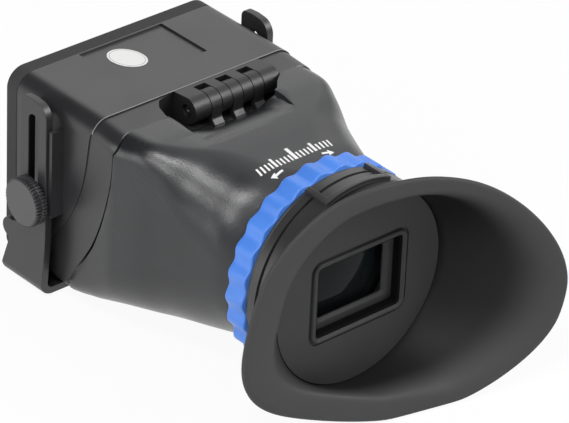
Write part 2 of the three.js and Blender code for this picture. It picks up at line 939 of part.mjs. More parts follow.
// Scalloped focus ring with a web that sits on the cam ring
function makeFocusRing() {
  const points = [];
  const steps = ringLobes * lobeSteps;
  for (let i = 0; i < steps; i += 1) {
    const angle = (i / steps) * Math.PI * 2;
    const swell = (1 + Math.cos(angle * ringLobes)) / 2;
    const radius = THREE.MathUtils.lerp(ringValley, ringPeak, swell);
    points.push([radius * Math.cos(angle), radius * Math.sin(angle)]);
  }
  const bevelBack = ringFront + ringBevel;
  return prismY(polygon(points), bevelBack, ringBack)
    .add(disc(ringBevelRadius, ringFront, bevelBack + overrun))
    .subtract(disc(shoulderBore, ringFront - overrun, ringBack + overrun))
    .subtract(disc(ringRim, ringFront + ringWeb, ringBack + overrun));
}

function makeBarrel() {
  const profile = [
    [barrelBore, barrelFront],
    [barrelRadius, barrelFront],
    [barrelRadius, flangeFront],
    [flangeRadius, flangeFront],
    [flangeRadius, flangeBack],
    [hubRadius, flangeBack],
    [hubRadius, hubEnd],
    [maskSeatRadius, hubEnd],
    [maskSeatRadius, maskSeatDepth],
    [lensSeatBore, maskSeatDepth],
    [lensSeatBore, lensSeatDepth],
    [barrelBore, lensSeatDepth],
  ];
  const holes = prismZ(circle(0, -guidePinDepth, guidePinRadius + gap), -camOuter, camOuter);
  return turned(profile).subtract(holes);
}

function makeGuidePin() {
  return prismZ(circle(0, 0, guidePinRadius), barrelBore + gap, camOuter - gap);
}

// Lens with a flat rim, both faces bulging
function makeLens(bulge) {
  const flat = lensRadius - lensFlat;
  const profile = [];
  for (let i = 0; i <= lensSteps; i += 1) {
    const share = i / lensSteps;
    profile.push([flat * share, -bulge * (1 - share * share)]);
  }
  profile.push([lensRadius, 0], [lensRadius, lensEdge]);
  for (let i = lensSteps; i >= 0; i -= 1) {
    const share = i / lensSteps;
    profile.push([flat * share, lensEdge + bulge * (1 - share * share)]);
  }
  return turned(profile, hiddenSteps);
}

function makeSpacer() {
  const front = fieldLensDepth + lensEdge + gap;
  const back = lensSeatDepth - gap - lensEdge - gap;
  return tube(lensRadius - spacerWall, lensRadius, front, back, hiddenSteps);
}

function makeRetainer() {
  const back = fieldLensDepth - gap;
  return tube(lensRadius - spacerWall, lensRadius, back - retainerWidth, back, hiddenSteps);
}

function makeWindowMask() {
  const front = maskSeatDepth + gap;
  const back = front + windowMaskThickness;
  const view = rounded(
    -windowHalfWidth, windowHalfWidth, -windowHalfHeight, windowHalfHeight, windowRound,
  );
  return disc(maskSeatRadius - gap, front, back).subtract(
    prismY(view, front - overrun, back + overrun),
  );
}

// Rectangle of the window frame, drawn in by an inset
function frameShape(inset) {
  const halfWidth = frameHalfWidth - inset;
  const halfHeight = frameHalfHeight - inset;
  const radius = Math.max(frameRound - inset, leastRound);
  return rounded(-halfWidth, halfWidth, -halfHeight, halfHeight, radius);
}

function makeFacePlate() {
  const frameFront = maskSeatDepth + gap + windowMaskThickness + gap;
  const frameBack = faceBack + frameRise;
  return disc(faceRadius, faceFront, faceBack)
    .add(prismY(frameShape(0), frameFront, frameBack))
    .subtract(prismY(frameShape(frameBand), frameFront - overrun, frameBack + overrun));
}

// Part of a tube about the optical axis, between two angles
function sector(inner, outer, front, back, from, to) {
  const shape = new THREE.Shape();
  shape.absarc(0, 0, outer, from, to, false);
  shape.absarc(0, 0, inner, to, from, true);
  return prismY(shape, front, back);
}

function makeCollar() {
  const inner = collarOuter - collarWall / 2;
  const outer = collarOuter + catchRise;
  return tube(collarInner, collarOuter, collarFront, collarBack)
    .add(sector(inner, outer, collarFront, collarBack, catchFrom, catchFrom + catchLeg))
    .add(sector(inner, outer, collarFront, collarBack, catchTo - catchLeg, catchTo))
    .add(sector(inner, outer, collarBack - catchBar, collarBack, catchFrom, catchTo));
}

// Rim radius of the eyecup at an angle of its own, in degrees
function rimRadius(angle) {
  const [first, last] = [rimShares[0], rimShares.at(-1)];
  const rows = [
    [last[0] - 360, last[1]],
    ...rimShares,
    [first[0] + 360, first[1]],
  ];
  return cupReach * between(rows, angle, 1);
}

// Section of the eyecup wall at one angle, from the base out over the lip and back
function cupSection(angle) {
  const reach = rimRadius(angle);
  const turn = THREE.MathUtils.degToRad(angle) + cupTwist;
  const lip = cupLip + cupLipSwing * Math.cos(THREE.MathUtils.degToRad(angle + 145));
  const lean = cupSlope * Math.cos(THREE.MathUtils.degToRad(angle));
  const rim = (radius) => faceBack + cupDepth - cupWall + lean * radius;
  const base = faceRadius + gap;
  const foot = collarBack + gap;
  const outer = base + cupWall;
  const inside = reach - lip;
  const points = [
    [base, foot],
    [outer, foot],
    [THREE.MathUtils.lerp(outer, reach, 0.5), THREE.MathUtils.lerp(foot, rim(reach), 0.62)],
    [reach, rim(reach)],
    [reach - lip * 0.3, rim(reach) + cupCrown],
    [inside, rim(inside) + cupCrown / 2],
    [THREE.MathUtils.lerp(base, inside, 0.45), THREE.MathUtils.lerp(foot, rim(inside), 0.6)],
    [base, foot + cupWall],
  ];
  const across = new THREE.Vector3(Math.cos(turn), 0, Math.sin(turn));
  return points.map(([radius, depth]) => across.clone().multiplyScalar(radius).setY(-depth));
}

function makeEyecup() {
  const sections = [];
  for (let i = 0; i < cupSteps; i += 1) {
    sections.push(cupSection((i / cupSteps) * 360 - 180));
  }
  return loft(sections, true);
}

// Side view of an arm and the bar below it
function armShape() {
  const corner = Math.PI / 2;
  const bar = armInner - boxHalfWidth;
  const bottom = barBottom();
  const shape = new THREE.Shape();
  shape.moveTo(barForward, bottom);
  shape.lineTo(barForward, bottom + armThickness + bar / 2);
  shape.lineTo(-notchDepth, -notchDrop);
  shape.absarc(-lobeDepth, -lobeDrop, lobeRadius, -corner * 0.75, corner * 1.2);
  shape.lineTo(-armFront, -armFilletDrop + lobeRadius / 2);
  shape.absarc(-armFront - armFrontRound, armTop - armFrontRound, armFrontRound, 0, corner);
  shape.absarc(-armBack + armBackRound, armTop - armBackRound, armBackRound, corner, corner * 2);
  shape.lineTo(-armBack, -armBendDrop);
  shape.quadraticCurveTo(-armBack, bottom / 2, -barBack, bottom);
  return shape;
}

function barBottom() {
  return -boxBottom - gap - armThickness;
}

// One moulding: the U seen along the body, cut to the arm outline seen from the side
function makeBracket() {
  const bottom = barBottom();
  const tall = armTop + overrun;
  const outer = rounded(-armOuter, armOuter, bottom, tall + bracketRound, bracketRound);
  const innerRound = bracketRound - armThickness;
  const inner = rounded(
    -armInner, armInner, bottom + armThickness, tall + bracketRound * 2, innerRound,
  );
  const front = -barForward - overrun;
  const u = prismY(outer, front, armBack + overrun).subtract(
    prismY(inner, front - overrun, armBack + overrun * 2),
  );
  const slotHalf = slotWidth / 2;
  const slot = rounded(
    -thumbDepth - slotHalf, -thumbDepth + slotHalf, -slotHalf - gap, slotTop, slotHalf,
  );
  const wide = armOuter + overrun;
  return u.intersect(prismX(armShape(), -wide, wide)).subtract(prismX(slot, -wide, wide));
}

// Thumb screw pieces point along +x from the screw's own axis origin
function makeInsert() {
  const ring = prismX(circle(0, 0, insertRadius()), -bossDepth + gap, -insertSkin - gap);
  return ring.subtract(prismX(circle(0, 0, studBore), -bossDepth - overrun, overrun));
}

function makeWasher() {
  const ring = prismX(circle(0, 0, washerRadius), gap, armInner - boxHalfWidth - gap);
  return ring.subtract(prismX(circle(0, 0, studBore), -overrun, armInner - boxHalfWidth));
}

function knobStart() {
  return armOuter - boxHalfWidth + knobGap;
}

function makeStud() {
  return prismX(circle(0, 0, studRadius), -studBite, knobStart() + knobThickness - knobCap - gap);
}

// Knob with two rows of teeth, a groove between them and a smooth face
function makeKnob() {
  const points = [];
  const steps = knobTeeth * 2;
  for (let i = 0; i < steps; i += 1) {
    const angle = (i / steps) * Math.PI * 2;
    const radius = knobRadius - (i % 2 ? knobTooth : 0);
    points.push([radius * Math.cos(angle), radius * Math.sin(angle)]);
  }
  const start = knobStart();
  const end = start + knobThickness;
  const middle = (start + end) / 2;
  const core = circle(0, 0, knobRadius - knobTooth * 2, knobTeeth);
  const toothed = polygon(points);
  const hole = prismX(circle(0, 0, studBore), start - overrun, end - knobCap);
  return prismX(toothed, start, middle - knobGroove / 2)
    .add(prismX(toothed, middle + knobGroove / 2, end))
    .add(prismX(core, start + knobGroove / 2, end - knobGroove / 2))
    .subtract(hole);
}

// Pieces that move together, grouped about their joint
function jointed(x, y, z, members) {
  const group = new THREE.Group();
  group.position.set(x, y, z);
  members.forEach((member) => {
    member.position.sub(group.position);
    group.add(member);
  });
  return group;
}

function thumbScrew(side) {
  const name = side < 0 ? 'left' : 'right';
  const turn = side < 0 ? Math.PI : 0;
  const x = side * boxHalfWidth;
  return jointed(x, -thumbDepth, 0, [
    placed(`knob_${name}`, makeKnob(), materials.gloss, x, -thumbDepth, 0, turn),
    placed(`stud_${name}`, makeStud(), materials.steel, x, -thumbDepth, 0, turn),
  ]);
}

function eyecupGroup() {
  return jointed(0, -collarFront, 0, [
    toMesh('eyecup_collar', makeCollar(), materials.gloss),
    toMesh('eyecup', makeEyecup(), materials.rubber),
  ]);
}

function barrelGroup() {
  const eyeDepth = lensSeatDepth - gap - lensEdge;
  return jointed(0, -barrelFront, 0, [
    toMesh('lens_barrel', makeBarrel(), materials.gloss),
    placed('field_lens', makeLens(fieldBulge), materials.glass, 0, -fieldLensDepth, 0),
    placed('eye_lens', makeLens(eyeBulge), materials.glass, 0, -eyeDepth, 0),
    toMesh('lens_spacer', makeSpacer(), materials.inner),
    toMesh('lens_retainer', makeRetainer(), materials.inner),
    guidePin('guide_pin_upper', 0),
    guidePin('guide_pin_lower', Math.PI),
    toMesh('window_mask', makeWindowMask(), materials.inner),
    toMesh('face_plate', makeFacePlate(), materials.housing),
    eyecupGroup(),
  ]);
}

function guidePin(name, turn) {
  const pin = placed(name, makeGuidePin(), materials.steel, 0, -guidePinDepth, 0);
  pin.rotation.y = turn;
  return pin;
}

function focusGroup() {
  return jointed(0, -ringFront, 0, [
    toMesh('focus_ring', makeFocusRing(), materials.blue),
    toMesh('cam_ring', makeCamRing(), materials.inner),
  ]);
}

function funnelGroup() {
  const head = pocketFloor - pocketWall - gap;
  const screws = leafScrewPlaces().map(([x, depth], i) => (
    placed(`leaf_screw_${i ? 'right' : 'left'}`, makeScrew(), materials.steel, x, -depth, head)
  ));
  const keepers = [-magnetX, magnetX].map((x, i) => placed(
    `keeper_${i ? 'right' : 'left'}`,
    makeMagnet(keeperLength),
    materials.steel,
    x,
    -keeperFront(),
    magnetHeight(),
  ));
  return jointed(0, -hingeDepth, hingeHeight, [
    toMesh('funnel_shell', makeFunnel(), materials.funnel),
    toMesh('hinge_leaf', makeHingeLeaf(), materials.gloss),
    ...screws,
    ...keepers,
    toMesh('light_baffle', makeBaffle(), materials.inner),
    toMesh('guide_sleeve', makeSleeve(), materials.inner),
    toMesh('sleeve_clip', makeClip(), materials.steel),
    focusGroup(),
    barrelGroup(),
  ]);
}

function boxPieces() {
  const labelHeight = boxTop - panelDrop + gap;
  const head = pocketFloor - pocketWall - gap;
  const screws = blockScrewPlaces().map(([x, depth], i) => (
    placed(`block_screw_${i ? 'right' : 'left'}`, makeScrew(), materials.steel, x, -depth, head)
  ));
  const magnets = [-magnetX, magnetX].map((x, i) => placed(
    `magnet_${i ? 'right' : 'left'}`,
    makeMagnet(magnetLength - magnetSet),
    materials.steel,
    x,
    -magnetFront(),
    magnetHeight(),
  ));
  return [
    toMesh('screen_gasket', makeGasket(), materials.rubber),
    toMesh('front_housing', makeHousing(), materials.housing),
    toMesh('screen_mask', makeScreenMask(), materials.inner),
    placed('label_blank', makeLabel(), materials.label, labelX, -labelDepth, labelHeight, labelTurn),
    toMesh('hinge_block', makeHingeBlock(), materials.housing),
    toMesh('hinge_pin', makeHingePin(), materials.steel),
    ...screws,
    ...magnets,
    placed('insert_left', makeInsert(), materials.brass, -boxHalfWidth, -thumbDepth, 0, Math.PI),
    placed('insert_right', makeInsert(), materials.brass, boxHalfWidth, -thumbDepth, 0),
    placed('washer_left', makeWasher(), materials.steel, -boxHalfWidth, -thumbDepth, 0, Math.PI),
    placed('washer_right', makeWasher(), materials.steel, boxHalfWidth, -thumbDepth, 0),
  ];
}

// The whole loupe, stood with its origin at the bottom centre of its box
const loupe = new THREE.Group();
boxPieces().forEach((piece) => loupe.add(piece));
loupe.add(toMesh('bracket', makeBracket(), materials.gloss));
loupe.add(thumbScrew(-1), thumbScrew(1), funnelGroup());
const extent = new THREE.Box3().setFromObject(loupe);
const centre = extent.getCenter(new THREE.Vector3());
loupe.position.set(-centre.x, -centre.y, -extent.min.z);

export default loupe;
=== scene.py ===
"""Looks of the flip-up screen loupe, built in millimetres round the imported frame."""

import json
import math

import bmesh
import bpy
import numpy as np
from mathutils import Matrix, Vector


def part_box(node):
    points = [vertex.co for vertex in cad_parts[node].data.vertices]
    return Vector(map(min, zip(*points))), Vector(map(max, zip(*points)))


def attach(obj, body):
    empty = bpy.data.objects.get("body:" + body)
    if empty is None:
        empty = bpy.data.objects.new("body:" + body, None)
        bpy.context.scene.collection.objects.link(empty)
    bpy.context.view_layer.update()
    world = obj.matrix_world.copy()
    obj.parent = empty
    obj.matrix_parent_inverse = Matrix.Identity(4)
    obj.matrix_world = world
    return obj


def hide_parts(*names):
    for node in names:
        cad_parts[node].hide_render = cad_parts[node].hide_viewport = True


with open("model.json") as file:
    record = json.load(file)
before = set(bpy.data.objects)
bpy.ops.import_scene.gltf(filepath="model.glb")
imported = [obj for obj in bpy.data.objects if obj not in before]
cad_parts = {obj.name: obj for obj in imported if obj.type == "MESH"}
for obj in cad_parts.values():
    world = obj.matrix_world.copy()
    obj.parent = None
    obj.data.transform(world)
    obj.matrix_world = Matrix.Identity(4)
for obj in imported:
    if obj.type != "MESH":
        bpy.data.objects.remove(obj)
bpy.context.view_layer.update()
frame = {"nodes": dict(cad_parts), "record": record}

MM = 0.001

# The drawing frame: x across, y toward the camera screen from the front of the box,
# z up from the optical axis. Its origin comes from the rubber rim's own solid.
# A depth counts back from the front of the box, so it is minus y.
GAP = 0.3
GASKET_DEPTH = 5.6
BOX_TOP = 36.15
BOX_BOTTOM = 32.5
BOX_HALF = 42.0
BOX_ROUND = 6.5
rim_low, rim_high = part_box("screen_gasket")
ORIGIN = Vector((
    (rim_low.x + rim_high.x) / 2,
    rim_high.y - GASKET_DEPTH * MM,
    rim_high.z - BOX_TOP * MM,
))


def collection_add(obj):
    bpy.context.scene.collection.objects.link(obj)
    return obj


# Mesh helpers

def make(name, verts, faces):
    """Closed mesh from drawing-frame points, faces turned outward."""
    mesh = bpy.data.meshes.new(name)
    points = np.asarray(verts, float) * MM + np.array(ORIGIN)
    mesh.from_pydata(points.tolist(), [], faces)
    work = bmesh.new()
    work.from_mesh(mesh)
    bmesh.ops.remove_doubles(work, verts=work.verts, dist=1e-7)
    bmesh.ops.recalc_face_normals(work, faces=work.faces)
    work.to_mesh(mesh)
    work.free()
    return collection_add(bpy.data.objects.new(name, mesh))


def loft(name, rings, endless=False):
    """Skin over rings of equal length, capped or joined end to end."""
    rings = np.asarray(rings, float)
    count, size, _ = rings.shape
    faces = []
    for i in range(count if endless else count - 1):
        here, there = i * size, ((i + 1) % count) * size
        for j in range(size):
            k = (j + 1) % size
            faces.append((here + j, here + k, there + k, there + j))
    if not endless:
        faces.append(tuple(range(size))[::-1])
        faces.append(tuple(range((count - 1) * size, count * size)))
    return make(name, rings.reshape(-1, 3), faces)


def along(axis, outline, place):
    """Outline points set in the plane across an axis at a place."""
    flat = np.asarray(outline, float)
    level = np.full(len(flat), float(place))
    if axis == "x":
        return np.column_stack((level, flat[:, 0], flat[:, 1]))
    if axis == "y":
        return np.column_stack((flat[:, 0], level, flat[:, 1]))
    return np.column_stack((flat[:, 0], flat[:, 1], level))


def prism(name, outline, axis, start, end):
    return loft(name, [along(axis, outline, start), along(axis, outline, end)])


def circle(u, v, radius, steps=64, turn=0.0):
    angle = np.arange(steps) / steps * math.tau + turn
    return np.column_stack((u + radius * np.cos(angle), v + radius * np.sin(angle)))


def rounded(left, right, bottom, top, radius, steps=10):
    corners = [(right, top), (left, top), (left, bottom), (right, bottom)]
    sides = [(-1, -1), (1, -1), (1, 1), (-1, 1)]
    points = []
    for turn, ((u, v), (su, sv)) in enumerate(zip(corners, sides)):
        for i in range(steps + 1):
            angle = (turn + i / steps) * math.pi / 2
            points.append((
                u + su * radius + radius * math.cos(angle),
                v + sv * radius + radius * math.sin(angle),
            ))
    return points


def block(name, x, y, z):
    return prism(name, [(x[0], y[0]), (x[1], y[0]), (x[1], y[1]), (x[0], y[1])], "z", *z)


def revolve(name, profile, steps=128):
    """Closed profile of radius and depth, turned about the optical axis."""
    profile = np.asarray(profile, float)
    rings = []
    for i in range(steps):
        angle = i / steps * math.tau
        rings.append(np.column_stack((
            profile[:, 0] * math.cos(angle), -profile[:, 1], profile[:, 0] * math.sin(angle),
        )))
    obj = loft(name, rings, endless=True)
    work = bmesh.new()
    work.from_mesh(obj.data)
    bmesh.ops.dissolve_degenerate(work, dist=1e-7, edges=work.edges)
    bmesh.ops.recalc_face_normals(work, faces=work.faces)
    work.to_mesh(obj.data)
    work.free()
    return obj


def settle(obj):
    """Applies the modifiers."""
    graph = bpy.context.evaluated_depsgraph_get()
    mesh = bpy.data.meshes.new_from_object(obj.evaluated_get(graph))
    obj.modifiers.clear()
    obj.data = mesh
    return obj


def combine(obj, operation, *tools):
    for tool in tools:
        modifier = obj.modifiers.new("combine", "BOOLEAN")
        modifier.operation = operation
        modifier.solver = "EXACT"
        modifier.object = tool
        settle(obj)
        bpy.data.objects.remove(tool)
    return obj


def cut(obj, *tools):
    return combine(obj, "DIFFERENCE", *tools)


def join(obj, *tools):
    return combine(obj, "UNION", *tools)


def soften(obj, width, angle=32.0, segments=2):
    """Rounds the sharp edges, in millimetres."""
    modifier = obj.modifiers.new("bevel", "BEVEL")
    modifier.width = width * MM
    modifier.segments = segments
    modifier.limit_method = "ANGLE"
    modifier.angle_limit = math.radians(angle)
    modifier.use_clamp_overlap = True
    modifier.harden_normals = False
    return settle(obj)


def smooth(obj, angle=34.0, flat=False):
    """Smooth shading with sharp edges; flat keeps the large faces even up to their edges."""
    for face in obj.data.polygons:
        face.use_smooth = True
    obj.data.set_sharp_from_angle(angle=math.radians(angle))
    if flat:
        modifier = obj.modifiers.new("normals", "WEIGHTED_NORMAL")
        modifier.keep_sharp = True
        graph = bpy.context.evaluated_depsgraph_get()
        mesh = bpy.data.meshes.new_from_object(
            obj.evaluated_get(graph), preserve_all_data_layers=True, depsgraph=graph,
        )
        obj.modifiers.clear()
        obj.data = mesh
    return obj


def dress(obj, material, body, slot, *nodes):
    """Gives a finished piece its material and body and hides the nodes it stands for; the slot is
    not used.
    """
    obj.data.materials.clear()
    obj.data.materials.append(material)
    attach(obj, body)
    if nodes:
        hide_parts(*nodes)
    return obj


# Materials

# The part of a noise's range that its mapping uses
NOISE_LOW, NOISE_HIGH = 0.3, 0.7
PATCH_SCALE, PATCH_DETAIL = 60.0, 3.0
ROUGH_SWING = 0.04
METAL_GRAIN, METAL_SWING, METAL_SHADE = 900.0, 0.08, 0.9
# How far inside and outside the rim's plane the cup's painted shade fades into the rim's tone
FADE_INSIDE, FADE_OUTSIDE = 9.0, 1.0


def node_material(name):
    material = bpy.data.materials.new(name)
    material.use_nodes = True
    tree = material.node_tree
    return material, tree, tree.nodes["Principled BSDF"]


def noise(tree, scale, detail=2.0):
    coords = tree.nodes.new("ShaderNodeTexCoord")
    texture = tree.nodes.new("ShaderNodeTexNoise")
    texture.inputs["Scale"].default_value = scale
    texture.inputs["Detail"].default_value = detail
    tree.links.new(coords.outputs["Object"], texture.inputs["Vector"])
    return texture.outputs["Fac"]


def ramp(tree, source, start, end, low, high, eased=False):
    """Maps the run of values from start to end onto the run from low to high."""
    mapped = tree.nodes.new("ShaderNodeMapRange")
    if eased:
        mapped.interpolation_type = "SMOOTHSTEP"
    mapped.inputs["From Min"].default_value = start
    mapped.inputs["From Max"].default_value = end
    mapped.inputs["To Min"].default_value = low
    mapped.inputs["To Max"].default_value = high
    tree.links.new(source, mapped.inputs["Value"])
    return mapped.outputs["Result"]


def spread(tree, source, low, high):
    """Maps a noise to a range of values."""
    return ramp(tree, source, NOISE_LOW, NOISE_HIGH, low, high)


def two_tone(tree, shader, share, dark, light):
    """Base colour that runs between two tones."""
    mix = tree.nodes.new("ShaderNodeMix")
    mix.data_type = "RGBA"
    mix.inputs["A"].default_value = (*dark, 1)
    mix.inputs["B"].default_value = (*light, 1)
    tree.links.new(share, mix.inputs["Factor"])
    tree.links.new(mix.outputs["Result"], shader.inputs["Base Color"])


def grained(name, color, rough, grain, bump, shade=0.12, depth=0.05, gloss=0.5):
    """Moulded surface: fine grain as bump, slow change of colour and roughness."""
    material, tree, shader = node_material(name)
    fine = noise(tree, grain, 1.0)
    slow = noise(tree, PATCH_SCALE, PATCH_DETAIL)
    shader.inputs["Specular IOR Level"].default_value = gloss
    bumped = tree.nodes.new("ShaderNodeBump")
    bumped.inputs["Strength"].default_value = bump
    bumped.inputs["Distance"].default_value = depth * MM
    tree.links.new(fine, bumped.inputs["Height"])
    tree.links.new(bumped.outputs["Normal"], shader.inputs["Normal"])
    roughness = spread(tree, slow, rough - ROUGH_SWING, rough + ROUGH_SWING)
    tree.links.new(roughness, shader.inputs["Roughness"])
    dark = [c * (1 - shade) for c in color]
    light = [c * (1 + shade) for c in color]
    two_tone(tree, shader, spread(tree, slow, 0.0, 1.0), dark, light)
    return material


def paint_hollow_shade(material, depth, slope, dark, light):
    """Painted shade: colour that darkens from the cup's rim down into its hollow."""
    tree = material.node_tree
    shader = tree.nodes["Principled BSDF"]
    coords = tree.nodes.new("ShaderNodeTexCoord")
    level = tree.nodes.new("ShaderNodeVectorMath")
    level.operation = "DOT_PRODUCT"
    level.inputs[1].default_value = (-slope, -1.0, 0.0)
    tree.links.new(coords.outputs["Object"], level.inputs[0])
    at_rim = -slope * ORIGIN.x - ORIGIN.y + depth * MM
    start, end = at_rim - FADE_INSIDE * MM, at_rim + FADE_OUTSIDE * MM
    share = ramp(tree, level.outputs["Value"], start, end, 0.0, 1.0, True)
    tree.nodes.remove(next(n for n in tree.nodes if n.bl_idname == "ShaderNodeMix"))
    two_tone(tree, shader, share, dark, light)


def metal(name, color, rough):
    material, tree, shader = node_material(name)
    shader.inputs["Metallic"].default_value = 1.0
    fine = noise(tree, METAL_GRAIN)
    roughness = spread(tree, fine, rough - METAL_SWING, rough + METAL_SWING)
    tree.links.new(roughness, shader.inputs["Roughness"])
    two_tone(tree, shader, spread(tree, fine, 0.0, 1.0), [c * METAL_SHADE for c in color], color)
    return material


def lens_glass(name):
    """Dark glass with a trace of transmission."""
    material, tree, shader = node_material(name)
    shader.inputs["Transmission Weight"].default_value = 0.1
    shader.inputs["IOR"].default_value = 1.52
    shader.inputs["Specular IOR Level"].default_value = 0.05
    slow = noise(tree, 30.0, 1.0)
    tree.links.new(spread(tree, slow, 0.02, 0.05), shader.inputs["Roughness"])
    share = spread(tree, slow, 0.0, 1.0)
    two_tone(tree, shader, share, (0.008, 0.0095, 0.01), (0.012, 0.016, 0.017))
    return material


HOUSING = grained("housing_plastic", (0.0225, 0.0225, 0.0245), 0.34, 3800.0, 0.4, gloss=0.64)
FUNNEL = grained("funnel_plastic", (0.019, 0.02, 0.022), 0.25, 2700.0, 1.0, depth=0.062, gloss=0.6)
RUBBER = grained("rubber", (0.034, 0.034, 0.036), 0.55, 5200.0, 0.35, shade=0.08, gloss=0.22)
GASKET = grained("gasket_rubber", (0.028, 0.028, 0.029), 0.75, 3000.0, 0.6)
GLOSS = grained("semi_gloss_plastic", (0.031, 0.031, 0.032), 0.34, 3000.0, 0.25, gloss=0.62)
HINGE = grained("hinge_plastic", (0.013, 0.013, 0.014), 0.38, 2400.0, 0.9, gloss=0.5)
BRACKET = grained("bracket_plastic", (0.02, 0.02, 0.022), 0.38, 3200.0, 0.35, gloss=0.6)
KNOB = grained("knob_plastic", (0.047, 0.047, 0.05), 0.3, 3600.0, 0.35, gloss=0.7)
# Painted highlight along the box's crease
CREASE_HIGHLIGHT = grained("painted_crease_highlight", (0.2, 0.2, 0.205), 0.35, 1500.0, 0.2)
# Painted highlight on the ends of the hinge leaf's feet
FOOT_HIGHLIGHT = grained("painted_foot_highlight", (0.055, 0.055, 0.057), 0.4, 1500.0, 0.4)
INNER = grained("flat_black", (0.005, 0.005, 0.0055), 0.85, 3000.0, 0.3, gloss=0.06)
PLATE = grained("face_plate_plastic", (0.036, 0.036, 0.037), 0.62, 3600.0, 0.4, gloss=0.34)
BLUE = grained("blue_plastic", (0.08, 0.25, 0.8), 0.4, 2400.0, 0.35, shade=0.06)
PAPER = grained("label_stock", (0.82, 0.82, 0.81), 0.5, 900.0, 0.1, shade=0.01)
RING_INK = grained("label_ring", (0.42, 0.42, 0.43), 0.5, 900.0, 0.1, shade=0.03)
INK = grained("white_ink", (0.86, 0.86, 0.86), 0.55, 1500.0, 0.15, shade=0.01)
STEEL = metal("brushed_steel", (0.5, 0.5, 0.52), 0.34)
DARK_STEEL = metal("black_steel", (0.16, 0.16, 0.17), 0.4)
BRASS = metal("machined_brass", (0.7, 0.5, 0.2), 0.32)
GLASS = lens_glass("coated_glass")

SLOT_MATERIALS = {
    "housing": HOUSING, "funnel": FUNNEL, "rubber": RUBBER, "gloss": GLOSS, "inner": INNER,
    "blue": BLUE, "label": PAPER, "steel": STEEL, "brass": BRASS, "glass": GLASS,
}
for subpart in frame["record"]["subparts"]:
    node = frame["nodes"][subpart["node"]]
    node.data.materials.clear()
    node.data.materials.append(SLOT_MATERIALS[subpart["material_slot"]])


# Body: box, band and funnel in one run

CREASE = 37.45
BAND_END = 47.3
FUNNEL_END = 96.5
END_RADIUS = 30.9
BOX_WALL = 2.4
FUNNEL_WALL = 2.2

# Depth, half width, top, bottom, upper and lower corner radius
STATIONS = np.array([
    (0.0, BOX_HALF, BOX_TOP, BOX_BOTTOM, BOX_ROUND, BOX_ROUND),
    (26.0, BOX_HALF, BOX_TOP, BOX_BOTTOM, 6.6, 5.0),
    (CREASE, BOX_HALF, BOX_TOP, 32.3, 6.6, 10.0),
    (BAND_END, 42.1, 35.35, 31.75, 6.5, 16.4),
    (58.0, 40.1, 35.8, 31.4, 7.2, 20.2),
    (66.0, 38.1, 35.3, 31.2, 11.0, 22.9),
    (75.0, 36.2, 34.4, 31.0, 19.4, 25.3),
    (82.4, 34.8, 33.3, 30.95, 22.5, 28.1),
    (90.0, 33.4, 32.2, 30.9, 25.4, 30.8),
    (FUNNEL_END, *[END_RADIUS] * 5),
])
BOX_ROWS, BAND_ROWS, FUNNEL_ROWS = STATIONS[:3], STATIONS[2:4], STATIONS[3:]


def slopes(x, y):
    """Slopes of a smooth run through points that keeps their rise and fall."""
    step = np.diff(x)
    rise = np.diff(y) / step
    inner = np.zeros(len(x))
    for i in range(1, len(x) - 1):
        if rise[i - 1] * rise[i] > 0:
            near, far = 2 * step[i] + step[i - 1], step[i] + 2 * step[i - 1]
            inner[i] = (near + far) / (near / rise[i - 1] + far / rise[i])
    inner[0], inner[-1] = rise[0], rise[-1]
    return inner


def run_through(x, y, at):
    """Value at a place on a smooth run through points."""
    at = min(max(at, x[0]), x[-1])
    i = min(int(np.searchsorted(x, at, side="right")) - 1, len(x) - 2)
    slope = slopes(x, y)
    step = x[i + 1] - x[i]
    t = (at - x[i]) / step
    return float(
        (2 * t**3 - 3 * t**2 + 1) * y[i]
        + (t**3 - 2 * t**2 + t) * step * slope[i]
        + (-2 * t**3 + 3 * t**2) * y[i + 1]
        + (t**3 - t**2) * step * slope[i + 1]
    )


# The funnel starts with a rounder upper edge than the box has at the seam
FUNNEL_EDGE = np.vstack(([(20.0, 8.6), (BAND_END, 8.6)], STATIONS[4:, [0, 4]]))


def section(depth, funnel=False):
    """Half width, top, bottom, upper and lower corner radius at a depth."""
    rows = FUNNEL_ROWS
    if depth < CREASE:
        rows = BOX_ROWS
    elif depth < BAND_END:
        rows = BAND_ROWS
    values = [run_through(rows[:, 0], column, depth) for column in rows.T[1:]]
    if funnel:
        values[3] = run_through(*FUNNEL_EDGE.T, depth)
    return values


CORNER_STEPS = 12
SIDE_STEPS = 7
SHORT_SIDE = 1.2
NEAR_CORNER = 0.4
LEAST_ROUND = 0.6


def side_points(start, end):
    """Points between two corners; on a long side the outer ones lie near its ends."""
    start, end = np.array(start), np.array(end)
    length = np.linalg.norm(end - start)
    if length < SHORT_SIDE:
        shares = [(i + 1) / (SIDE_STEPS + 1) for i in range(SIDE_STEPS)]
    else:
        near = NEAR_CORNER / length
        shares = np.linspace(near, 1 - near, SIDE_STEPS)
    return [start + (end - start) * share for share in shares]


def body_ring(depth, inset=0.0, y=None, funnel=False):
    """Outline of the body at a depth, drawn there or at another place along y."""
    half, top, bottom, upper, lower = section(depth, funnel)
    half, top, bottom = half - inset, top - inset, bottom - inset
    upper, lower = max(upper - inset, LEAST_ROUND), max(lower - inset, LEAST_ROUND)
    centres = [
        (half - upper, top - upper, upper),
        (upper - half, top - upper, upper),
        (lower - half, lower - bottom, lower),
        (half - lower, lower - bottom, lower),
    ]
    corners = []
    for turn, (x, z, radius) in enumerate(centres):
        angles = (turn + np.arange(CORNER_STEPS + 1) / CORNER_STEPS) * math.pi / 2
        corners.append([(x + radius * math.cos(a), z + radius * math.sin(a)) for a in angles])
    points = []
    for turn, corner in enumerate(corners):
        points += corner
        points += side_points(corner[-1], corners[(turn + 1) % 4][0])
    return along("y", points, -depth if y is None else y)


def top_height(x, depth):
    """Height of the body's upper surface."""
    half, top, _, upper, _ = section(depth)
    past = abs(x) - (half - upper)
    return top if past <= 0 else top - upper + math.sqrt(max(upper**2 - past**2, 0.0))


# Parting seam, crease, hinge recess

